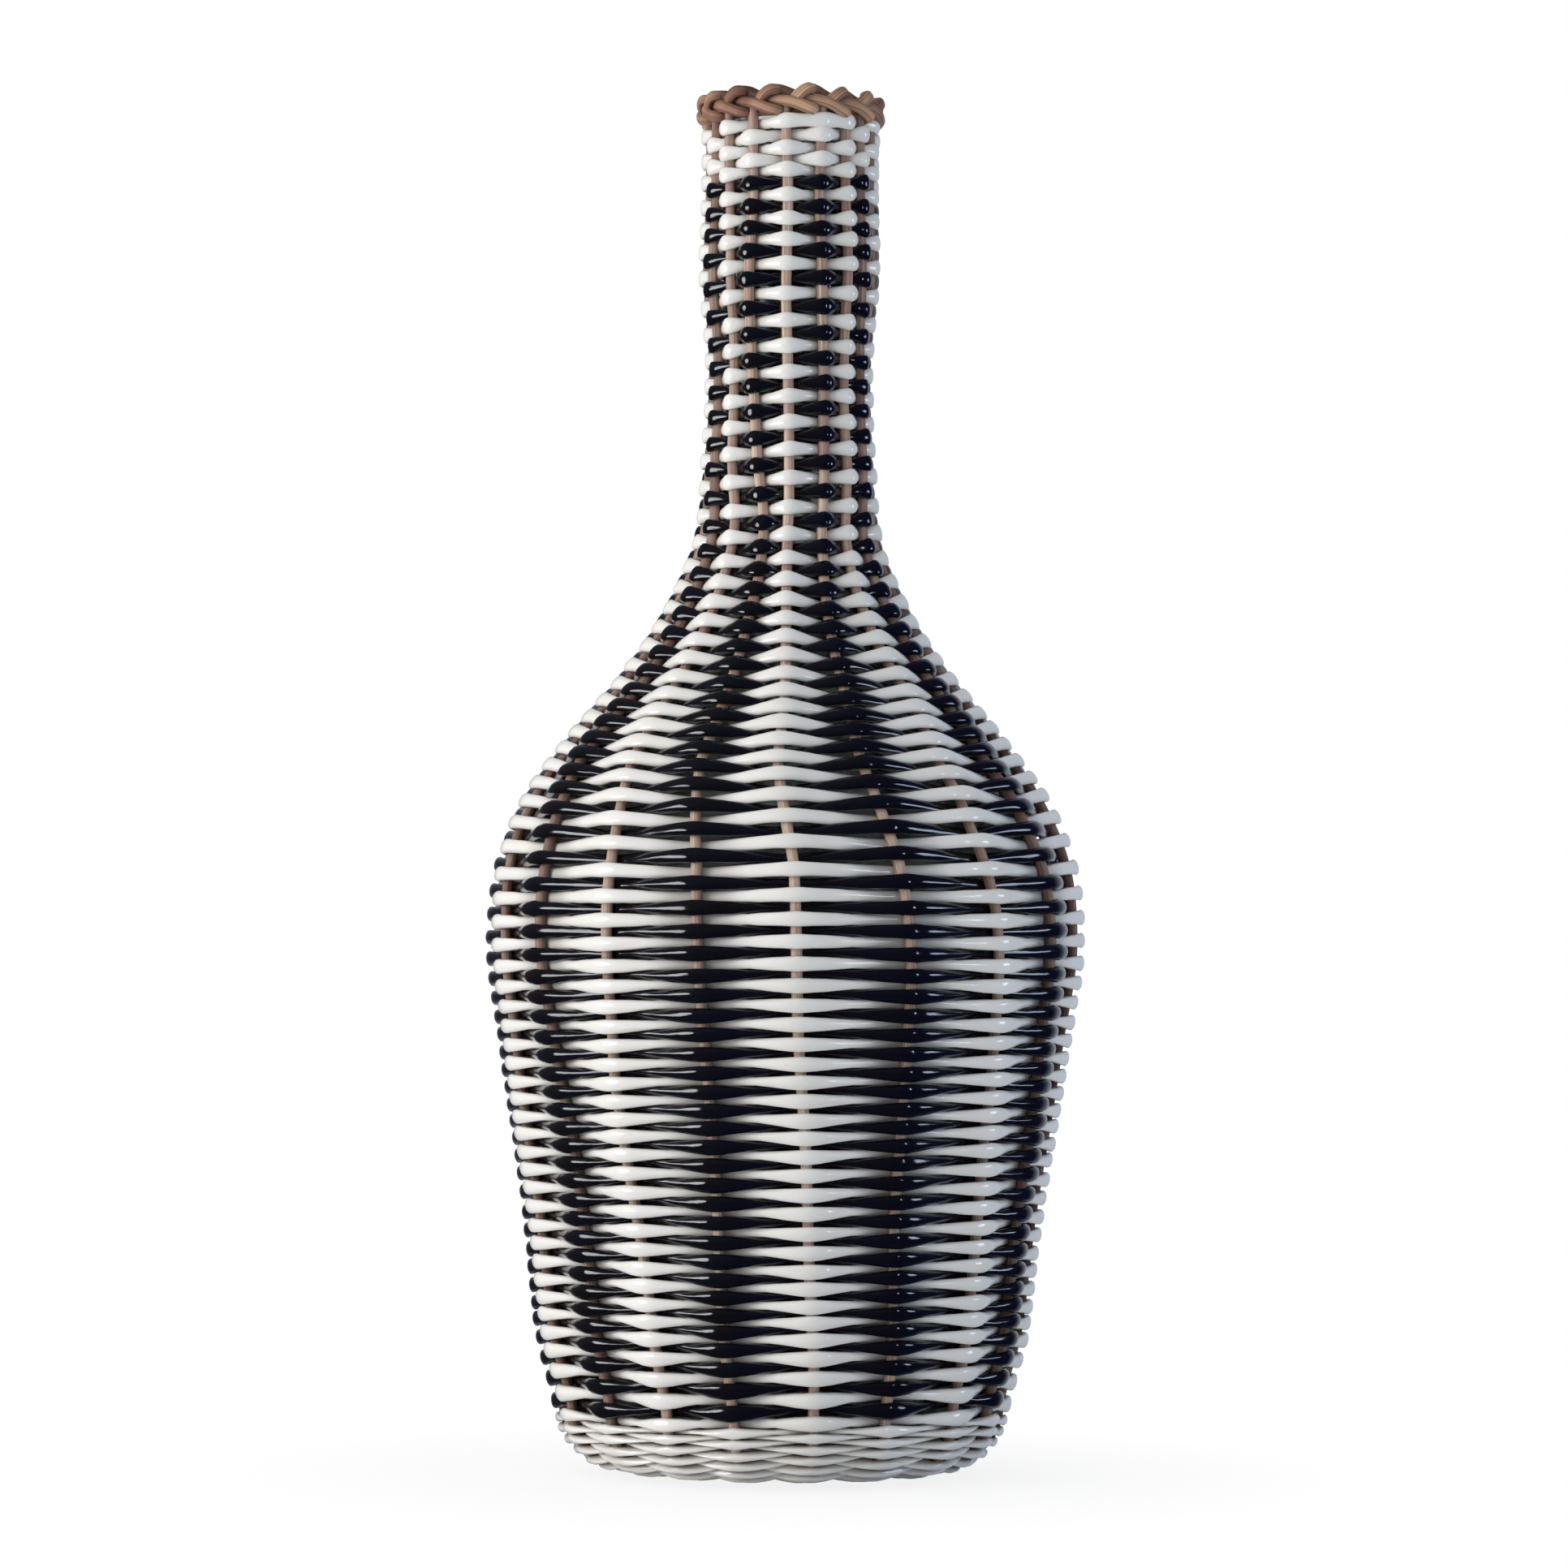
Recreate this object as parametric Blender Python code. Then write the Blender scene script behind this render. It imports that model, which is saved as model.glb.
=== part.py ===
"""A glass bottle in a close cover of glossy strand, woven over rattan stakes.

The bottle stands at the origin on its woven base, Z is up, and the front is at -Y.
Two strands climb the wall together, half a turn apart, over an even number of stakes.
So each strand passes outside the same stakes on every turn: the ivory strand covers the
even stakes, the second strand covers the odd ones, and the colours stand in columns.
A plaited rattan rim closes the cover round the mouth.
"""

import math

import bmesh
import bpy
from mathutils import Vector

# Wall of the glass bottle, outside, in metres
GLASS_FOOT_RADIUS = 0.0415
HEEL_HEIGHT = 0.0165
HEEL_RADIUS = 0.0497
BELLY_HEIGHT = 0.131
BELLY_RADIUS = 0.0659
NECK_FOOT_HEIGHT = 0.244
NECK_FOOT_RADIUS = 0.0150
NECK_WAIST_RADIUS = 0.0138
NECK_SWELL_RADIUS = 0.0153
COLLAR_RADIUS = 0.0149
COVER_TOP_HEIGHT = 0.3305
COVER_TOP_RADIUS = 0.0150
GLASS_WALL = 0.0030
GLASS_FLOOR = 0.0045
LIP_HEIGHT = 0.0045
LIP_BULGE = 0.0008
LIP_ROUND = 0.0008

# Woven base that the bottle stands on
BASE_THICKNESS = 0.0070
BASE_SPREAD = 0.0010

# Stakes, strands and the clearances between them
STAKE_COUNT = 18
STAKE_THICKNESS = 0.0026
STRAND_THICKNESS = 0.0017
STRAND_WIDTH = 0.0025
SEAT_GAP = 0.0003
CROSSING_GAP = 0.0004

# Pitch of one strand, turn to turn, where two colours are packed tight
TIGHT_PITCH = 0.0045
FIRST_ROW_PLACE = 0.00115
BASE_BAND_TURNS = 4.5
NECK_BAND_TURNS = 2.6

# Lean of the stakes between the shoulder and the floor, in degrees
FRONT_STAKE_ANGLE = -2.4
STAKE_LEAN_ANGLE = 10.8
LEAN_TOP_HEIGHT = 0.185

# Plaited rim
RIM_CYCLES = 5
RIM_STRANDS = 3
RIM_RADIUS = 0.0206
RIM_SWAY = 0.00225
RIM_DEPTH = 0.0015
RIM_STRAND_WIDTH = 0.0024
RIM_STRAND_THICKNESS = 0.0022

# Way from the heel to the belly: share of the climb, share of the way out
FLANK_SHARES = ((0.13, 0.18), (0.44, 0.46), (0.77, 0.81))
# Way from the belly to the neck: share of the climb, share of the way in
SHOULDER_SHARES = (
    (0.14, 0.035), (0.26, 0.143), (0.39, 0.348), (0.55, 0.627), (0.70, 0.829), (0.845, 0.957),
)
# Shares of the climb of the neck to its waist, its swell and its collar
NECK_CLIMB_SHARES = (0.266, 0.543, 0.775)
# Share of the way up the stakes, share of the tight pitch: the base band is the closest
PITCH_SHARES = (
    (0.00, 0.602), (0.034, 0.602), (0.040, 1.15), (0.065, 1.17), (0.11, 0.92), (0.19, 1.04),
    (0.23, 0.94), (0.34, 1.02), (0.40, 1.25), (0.43, 1.50), (0.48, 1.19), (0.54, 1.07),
    (0.58, 1.26), (0.66, 1.26), (0.72, 1.60), (0.80, 1.37), (0.84, 1.37), (0.88, 1.62),
    (0.92, 1.20), (1.00, 1.33),
)
LEAN_POWER_SHARE = 0.75
# How much taller than its mean a strand is outside a stake, and lower behind one
LENS_SHARE = 0.5

# Counts of facets and steps
HEEL_STEPS = 4
BASE_EDGE_STEPS = 4
TURNED_SIDES = 18
RIM_STEPS_PER_CYCLE = 12

# Colours and finishes
GLASS_COLOUR = (0.55, 0.66, 0.60, 1.0)
IVORY_COLOUR = (0.80, 0.78, 0.70, 1.0)
BLACK_COLOUR = (0.012, 0.011, 0.020, 1.0)
RATTAN_COLOUR = (0.48, 0.30, 0.22, 1.0)
RIM_COLOUR = (0.30, 0.165, 0.09, 1.0)
BASE_COLOUR = (0.74, 0.70, 0.62, 1.0)
GLASS_ROUGHNESS = 0.05
STRAND_ROUGHNESS = 0.22
RATTAN_ROUGHNESS = 0.55


def clear_scene():
    """Remove every object of the scene."""
    for old in list(bpy.data.objects):
        bpy.data.objects.remove(old, do_unlink=True)


def new_material(name, colour, roughness, transmission=0.0):
    """A Principled material for one kind of sub-part."""
    material = bpy.data.materials.new(name)
    material.use_nodes = True
    material.diffuse_color = colour
    shader = material.node_tree.nodes["Principled BSDF"]
    shader.inputs["Base Color"].default_value = colour
    shader.inputs["Roughness"].default_value = roughness
    shader.inputs["Metallic"].default_value = 0.0
    shader.inputs["Transmission Weight"].default_value = transmission
    return material


def finish_object(name, mesh_builder, material):
    """Turn a bmesh into a named, smooth-shaded object with its faces pointing out."""
    bmesh.ops.recalc_face_normals(mesh_builder, faces=mesh_builder.faces)
    mesh = bpy.data.meshes.new(name)
    mesh_builder.to_mesh(mesh)
    mesh_builder.free()
    mesh.materials.append(material)
    mesh.shade_smooth()
    mesh.set_sharp_from_angle(angle=math.radians(50))
    made = bpy.data.objects.new(name, mesh)
    bpy.context.scene.collection.objects.link(made)
    return made


def loft(name, rings, material):
    """Skin a row of rings that have the same number of points, and cap both ends."""
    builder = bmesh.new()
    rows = [[builder.verts.new(point) for point in ring] for ring in rings]
    for low, high in zip(rows, rows[1:]):
        for side, corner in enumerate(low):
            after = (side + 1) % len(low)
            builder.faces.new((corner, low[after], high[after], high[side]))
    builder.faces.new(rows[0])
    builder.faces.new(rows[-1])
    return finish_object(name, builder, material)


def turned(name, outline, material):
    """Spin an outline of (radius, height) points, both ends on the axis, about Z."""
    builder = bmesh.new()
    verts = [builder.verts.new((radius, 0.0, height)) for radius, height in outline]
    edges = [builder.edges.new(pair) for pair in zip(verts, verts[1:])]
    bmesh.ops.spin(
        builder, geom=verts + edges, cent=(0.0, 0.0, 0.0), axis=(0.0, 0.0, 1.0),
        angle=math.tau, steps=TURNED_SIDES, use_merge=True,
    )
    on_axis = [vert for vert in builder.verts if vert.co.xy.length < SEAT_GAP]
    bmesh.ops.remove_doubles(builder, verts=on_axis, dist=SEAT_GAP / 10)
    return finish_object(name, builder, material)


def blend(low, high, share):
    """The value that lies this share of the way from low to high."""
    return low + (high - low) * share


def in_table(table, place):
    """Read a table of (place, value) pairs, straight between its rows."""
    for (low, low_value), (high, high_value) in zip(table, table[1:]):
        if place <= high:
            return blend(low_value, high_value, max(place - low, 0.0) / (high - low))
    return table[-1][1]


def glass_outline():
    """Outer wall of the glass, from the edge of its foot up to the top of the cover."""
    foot_height = BASE_THICKNESS + SEAT_GAP
    outline = []
    for step in range(HEEL_STEPS):
        turn = math.pi / 2 * (1 - step / HEEL_STEPS)
        outline.append(Vector((
            blend(GLASS_FOOT_RADIUS, HEEL_RADIUS, math.cos(turn)),
            blend(HEEL_HEIGHT, foot_height, math.sin(turn)),
        )))
    outline.append(Vector((HEEL_RADIUS, HEEL_HEIGHT)))
    for climb, out in FLANK_SHARES:
        outline.append(Vector((
            blend(HEEL_RADIUS, BELLY_RADIUS, out), blend(HEEL_HEIGHT, BELLY_HEIGHT, climb),
        )))
    outline.append(Vector((BELLY_RADIUS, BELLY_HEIGHT)))
    for climb, way_in in SHOULDER_SHARES:
        outline.append(Vector((
            blend(BELLY_RADIUS, NECK_FOOT_RADIUS, way_in),
            blend(BELLY_HEIGHT, NECK_FOOT_HEIGHT, climb),
        )))
    outline.append(Vector((NECK_FOOT_RADIUS, NECK_FOOT_HEIGHT)))
    neck_radii = (NECK_WAIST_RADIUS, NECK_SWELL_RADIUS, COLLAR_RADIUS)
    for radius, climb in zip(neck_radii, NECK_CLIMB_SHARES):
        outline.append(Vector((radius, blend(NECK_FOOT_HEIGHT, COVER_TOP_HEIGHT, climb))))
    outline.append(Vector((COVER_TOP_RADIUS, COVER_TOP_HEIGHT)))
    return outline


def outward_normals(outline):
    """Unit normals of an outline that climbs, pointing away from the axis."""
    steps = [(high - low).normalized() for low, high in zip(outline, outline[1:])]
    steps = [steps[0]] + steps + [steps[-1]]
    return [
        Vector((joined.y, -joined.x)).normalized()
        for joined in (before + after for before, after in zip(steps, steps[1:]))
    ]


class CoverWall:
    """The wall of the woven cover, measured along and out from the line of a stake."""

    def __init__(self):
        """Lay the stake line outside the glass, a seated strand away from it."""
        self.crossing = STAKE_THICKNESS / 2 + CROSSING_GAP
        self.glass = glass_outline()
        self.normals = outward_normals(self.glass)
        stake_out = SEAT_GAP + STRAND_THICKNESS + self.crossing
        # The stakes start one step up the heel, beside the edge of the base
        self.line = [
            point + normal * stake_out for point, normal in zip(self.glass, self.normals)
        ][1:]
        self.line_normals = self.normals[1:]
        self.lengths = [0.0]
        for low, high in zip(self.line, self.line[1:]):
            self.lengths.append(self.lengths[-1] + (high - low).length)

    @property
    def length(self):
        """Whole length of the stake line."""
        return self.lengths[-1]

    def flat_point(self, along, out):
        """The (radius, height) of a place along the stake line and out from it."""
        span = 0
        while span < len(self.lengths) - 2 and along > self.lengths[span + 1]:
            span += 1
        step = self.lengths[span + 1] - self.lengths[span]
        share = (along - self.lengths[span]) / step
        centre = self.line[span].lerp(self.line[span + 1], share)
        return centre + self.line_normals[span].lerp(self.line_normals[span + 1], share) * out

    def lean(self, along):
        """Angle of the front stake at this place, in radians, positive towards +X."""
        height = self.flat_point(along, 0.0).y
        below = max(1 - height / LEAN_TOP_HEIGHT, 0.0)
        return math.radians(FRONT_STAKE_ANGLE + STAKE_LEAN_ANGLE * below ** LEAN_POWER_SHARE)

    def point(self, along, out, angle):
        """The same place in space, on the stake line turned by this angle."""
        radius, height = self.flat_point(along, out)
        return around_axis(radius, height, angle)

    def pitch(self, along):
        """Climb of one strand in a full turn at this place."""
        return TIGHT_PITCH * in_table(PITCH_SHARES, along / self.length)


def around_axis(radius, height, angle):
    """A point at this angle from the front, which is at -Y, positive towards +X."""
    return Vector((radius * math.sin(angle), -radius * math.cos(angle), height))


def make_glass(wall, material):
    """Hollow bottle with a solid floor and a rounded lip at its open mouth."""
    foot_height = BASE_THICKNESS + SEAT_GAP
    lip_base = COVER_TOP_HEIGHT
    lip_top = lip_base + LIP_HEIGHT
    bore_radius = COVER_TOP_RADIUS - GLASS_WALL
    lip_radius = COVER_TOP_RADIUS + LIP_BULGE
    inner = [
        point - normal * GLASS_WALL
        for point, normal in reversed(list(zip(wall.glass, wall.normals)))
    ]
    floor_height = foot_height + GLASS_FLOOR
    inner = [point for point in inner if point.y > floor_height + GLASS_WALL]
    outline = [Vector((0.0, foot_height))]
    outline += wall.glass
    outline += [
        Vector((lip_radius, lip_base + LIP_ROUND)),
        Vector((lip_radius, lip_top - LIP_ROUND)),
        Vector((lip_radius - LIP_ROUND, lip_top)),
        Vector((bore_radius + LIP_ROUND, lip_top)),
        Vector((bore_radius, lip_top - LIP_ROUND)),
    ]
    outline += inner
    outline += [Vector((GLASS_FOOT_RADIUS, floor_height)), Vector((0.0, floor_height))]
    return turned("glass_bottle", outline, material)


def make_base(material):
    """Woven mat, flat below, a little wider than the bottle's foot, with a round edge."""
    flat_radius = GLASS_FOOT_RADIUS + BASE_SPREAD
    edge_round = BASE_THICKNESS / 2
    outline = [Vector((0.0, 0.0))]
    for step in range(BASE_EDGE_STEPS + 1):
        turn = math.pi * (step / BASE_EDGE_STEPS - 1 / 2)
        outline.append(Vector((
            flat_radius + edge_round * math.cos(turn),
            edge_round * (1 + math.sin(turn)),
        )))
    outline.append(Vector((0.0, BASE_THICKNESS)))
    return turned("woven_base", outline, material)


def make_stake(wall, number, material):
    """One rattan stake, four-sided, from beside the base up to the rim."""
    half = STAKE_THICKNESS / 2
    rings = []
    for along in wall.lengths:
        angle = wall.lean(along) + math.tau * number / STAKE_COUNT
        radius = wall.flat_point(along, 0.0).x
        turn = half / radius
        rings.append([
            wall.point(along, half, angle),
            wall.point(along, 0.0, angle + turn),
            wall.point(along, -half, angle),
            wall.point(along, 0.0, angle - turn),
        ])
    return loft(f"stake_{number + 1:02d}", rings, material)


def climb_of_strand(wall):
    """Places along the wall of the crossings of one strand, stake after stake."""
    places = [FIRST_ROW_PLACE]
    top = wall.length - STRAND_WIDTH * (1 + LENS_SHARE) / 2
    while places[-1] < top:
        places.append(places[-1] + wall.pitch(places[-1]) / STAKE_COUNT)
    # The last crossing lies behind a stake, where the cut end is out of sight
    return places[:len(places) - (len(places) + 1) % 2]


def crossing_ring(wall, along, stake, outside_share):
    """Three-cornered section of a strand, flat towards the glass.

    outside_share is 1 where the strand passes outside the stake and 0 behind it.
    """
    mean = min(STRAND_WIDTH, wall.pitch(along) / 2 - SEAT_GAP)
    half = mean / 2 * blend(1 - LENS_SHARE, 1 + LENS_SHARE, outside_share)
    back = blend(-wall.crossing - STRAND_THICKNESS, wall.crossing, outside_share)
    angle = wall.lean(along) + math.tau * stake / STAKE_COUNT
    return [
        wall.point(along - half, back, angle),
        wall.point(along + half, back, angle),
        wall.point(along, back + STRAND_THICKNESS, angle),
    ]


def make_strand(name, wall, places, first_stake, covered, start, stop, material):
    """A strand from crossing start to crossing stop, cut a seat gap short of its ends.

    covered is 0 where the strand passes outside the even stakes and 1 for the odd ones.
    """
    def ring_at(count):
        low = min(int(count), len(places) - 2)
        share = count - low
        along = blend(places[low], places[low + 1], share)
        outside = [float((first_stake + low + more) % 2 == covered) for more in (0, 1)]
        stake = first_stake + count
        return crossing_ring(wall, along, stake, blend(outside[0], outside[1], share))

    def end_cut(count):
        radius = wall.flat_point(places[count], 0.0).x
        return SEAT_GAP * STAKE_COUNT / (math.tau * radius)

    counts = [start + end_cut(start)]
    counts += range(start + 1, stop)
    counts.append(stop - end_cut(stop))
    return loft(name, [ring_at(count) for count in counts], material)


def make_weave(wall, ivory, black):
    """The ivory strand, and the second strand in its three lengths of colour."""
    places = climb_of_strand(wall)
    last = len(places) - 1
    half_turn = STAKE_COUNT // 2
    # A joint lies behind an even stake, where the second strand is out of sight
    band_top = 2 * round(BASE_BAND_TURNS * STAKE_COUNT / 2)
    collar = last - 2 * round(NECK_BAND_TURNS * STAKE_COUNT / 2)
    make_strand("ivory_weaver", wall, places, -half_turn, 0, 0, last, ivory)
    make_strand("base_band_weaver", wall, places, 0, 1, 0, band_top, ivory)
    make_strand("black_weaver", wall, places, 0, 1, band_top, collar, black)
    make_strand("neck_band_weaver", wall, places, 0, 1, collar, last, ivory)


def make_rim_strand(number, material):
    """One strand of the plait: it sways up and down once while it goes in and out twice."""
    half_width = RIM_STRAND_WIDTH / 2
    half_depth = RIM_STRAND_THICKNESS / 2
    rim_base = COVER_TOP_HEIGHT + SEAT_GAP
    middle = rim_base + RIM_SWAY + half_width
    steps = RIM_CYCLES * RIM_STEPS_PER_CYCLE
    # Its ends butt on the inner side of the plait, at the back
    first_phase = math.tau / 3
    cut = SEAT_GAP / RIM_RADIUS * RIM_CYCLES
    rings = []
    for step in range(steps + 1):
        travel = min(max(math.tau * step / RIM_STEPS_PER_CYCLE, cut), math.tau * RIM_CYCLES - cut)
        phase = first_phase + travel
        angle = math.pi + (phase - math.tau * number / RIM_STRANDS) / RIM_CYCLES
        radius = RIM_RADIUS + RIM_DEPTH * math.sin(2 * phase)
        height = middle + RIM_SWAY * math.sin(phase)
        rings.append([
            around_axis(radius + half_depth, height, angle),
            around_axis(radius, height + half_width, angle),
            around_axis(radius - half_depth, height, angle),
            around_axis(radius, height - half_width, angle),
        ])
    return loft(f"rim_plait_{number + 1}", rings, material)


def main():
    """Build the bottle, its base, the stakes, the weave and the rim."""
    clear_scene()
    glass = new_material("clear_glass", GLASS_COLOUR, GLASS_ROUGHNESS, transmission=1.0)
    ivory = new_material("ivory_strand", IVORY_COLOUR, STRAND_ROUGHNESS)
    black = new_material("black_strand", BLACK_COLOUR, STRAND_ROUGHNESS)
    rattan = new_material("stake_rattan", RATTAN_COLOUR, RATTAN_ROUGHNESS)
    rim = new_material("rim_rattan", RIM_COLOUR, RATTAN_ROUGHNESS)
    mat = new_material("base_weave", BASE_COLOUR, RATTAN_ROUGHNESS)
    wall = CoverWall()
    make_glass(wall, glass)
    make_base(mat)
    for number in range(STAKE_COUNT):
        make_stake(wall, number, rattan)
    make_weave(wall, ivory, black)
    for number in range(RIM_STRANDS):
        make_rim_strand(number, rim)


main()
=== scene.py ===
"""Looks of a glass bottle in a close cover of glossy strand, woven over rattan stakes.

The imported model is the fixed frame. Every piece made here stands for one of its nodes,
stays where that node is, and rides on the one body. The bottle stands at the origin,
Z is up and the front is at -Y, as in the construction.
"""

import logging
import math
from dataclasses import dataclass, field
from enum import Enum

import bpy
import numpy as np
from mathutils import Euler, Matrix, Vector


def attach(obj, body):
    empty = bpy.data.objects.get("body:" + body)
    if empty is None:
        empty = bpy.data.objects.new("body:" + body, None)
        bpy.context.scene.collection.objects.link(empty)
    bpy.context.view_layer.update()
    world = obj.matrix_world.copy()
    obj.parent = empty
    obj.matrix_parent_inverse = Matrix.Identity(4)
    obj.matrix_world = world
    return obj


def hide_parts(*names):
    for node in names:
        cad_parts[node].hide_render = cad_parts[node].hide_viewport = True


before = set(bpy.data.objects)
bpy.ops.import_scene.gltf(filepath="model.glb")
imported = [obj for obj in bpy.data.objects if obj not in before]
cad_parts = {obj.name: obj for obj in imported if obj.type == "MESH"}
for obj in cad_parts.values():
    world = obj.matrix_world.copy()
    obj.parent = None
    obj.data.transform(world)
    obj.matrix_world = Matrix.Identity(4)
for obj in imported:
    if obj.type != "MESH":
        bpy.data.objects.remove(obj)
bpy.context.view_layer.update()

Span = tuple[float, float]
Table = tuple[tuple[float, ...], ...]
Colour = tuple[float, float, float, float]
Socket = bpy.types.NodeSocket
Sockets = bpy.types.bpy_prop_collection

BODY = "root"
LAY_MAP = "lay"
BAKE_MAP = "OFBake"
WHITE: Colour = (1.0, 1.0, 1.0, 1.0)
MILLIMETRE = 0.001
UPWARDS = np.array((0.0, 0.0, 1.0))
# A seed for every draw, so that each run gives the same bottle
SEED = 11

log = logging.getLogger("woven_bottle")


class Slot(Enum):
    """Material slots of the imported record."""

    GLASS = "glass"
    IVORY = "ivory_strand"
    BLACK = "black_strand"
    STAKE = "stake_rattan"
    RIM = "rim_rattan"
    BASE = "base_weave"


class Side(Enum):
    """Where a strand is at a crossing."""

    BEHIND = 0.0
    OUTSIDE = 1.0


# Curves and the wall of the cover


def blend(low: np.ndarray, high: np.ndarray, share: np.ndarray) -> np.ndarray:
    """The value that lies this share of the way from low to high."""
    return low + (high - low) * share


def smooth_line(knots: np.ndarray, per_span: int) -> np.ndarray:
    """A smooth curve through knots, by cubic spans whose slopes weigh both neighbours.

    Args:
        knots: Points in order, one row each.
        per_span: Number of steps in each span.

    Returns:
        The points of the curve, one row each.
    """
    gaps = np.linalg.norm(np.diff(knots, axis=0), axis=1)[:, None]
    chords = np.diff(knots, axis=0) / gaps
    slopes = np.empty_like(knots)
    slopes[0], slopes[-1] = chords[0], chords[-1]
    slopes[1:-1] = (chords[:-1] * gaps[1:] + chords[1:] * gaps[:-1]) / (gaps[1:] + gaps[:-1])
    t = np.linspace(0.0, 1.0, per_span, endpoint=False)[:, None]
    rows = []
    for span, gap in enumerate(gaps[:, 0]):
        low, high = knots[span], knots[span + 1]
        rows.append(
            (2 * t**3 - 3 * t**2 + 1) * low + (t**3 - 2 * t**2 + t) * gap * slopes[span]
            + (3 * t**2 - 2 * t**3) * high + (t**3 - t**2) * gap * slopes[span + 1]
        )
    return np.vstack(rows + [knots[-1:]])


def line_normals(points: np.ndarray) -> np.ndarray:
    """Unit normals of a (radius, height) line that climbs, pointing away from the axis."""
    steps = np.gradient(points, axis=0)
    return unit(np.column_stack((steps[:, 1], -steps[:, 0])))


def around_axis(radius: np.ndarray, height: np.ndarray, angle: np.ndarray) -> np.ndarray:
    """Points at these angles from the front, which is at -Y, positive towards +X."""
    radius, height, angle = np.broadcast_arrays(radius, height, angle)
    return np.stack((radius * np.sin(angle), -radius * np.cos(angle), height), axis=-1)


def unit(vectors: np.ndarray) -> np.ndarray:
    """The same directions at length one."""
    return vectors / np.linalg.norm(vectors, axis=-1, keepdims=True)


def distances(points: np.ndarray) -> np.ndarray:
    """How far along a line each of its points is."""
    return np.concatenate(([0.0], np.cumsum(np.linalg.norm(np.diff(points, axis=0), axis=1))))


def angle_round(points: np.ndarray) -> np.ndarray:
    """Angles of points round the axis, from the front."""
    return np.arctan2(points[:, 0], -points[:, 1])


def eased(share: np.ndarray) -> np.ndarray:
    """A share from 0 to 1 that starts and stops gently."""
    return share * share * (3 - 2 * share)


def flattened(wave: np.ndarray, steepness: float = 2.0) -> np.ndarray:
    """A wave between -1 and 1, with broader tops."""
    return np.tanh(steepness * wave) / math.tanh(steepness)


def section_axes(centres: np.ndarray, wanted: np.ndarray) -> tuple[np.ndarray, np.ndarray]:
    """The two directions of a bar's section that put its faces on the outside.

    Args:
        centres: Points of the bar's centre line.
        wanted: The second direction at each point, not yet square to the line.

    Returns:
        Unit directions of the first and of the second half size.
    """
    ahead = unit(np.gradient(centres, axis=0))
    outs = unit(wanted - ahead * np.sum(wanted * ahead, axis=1)[:, None])
    return np.cross(outs, ahead), outs


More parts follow.
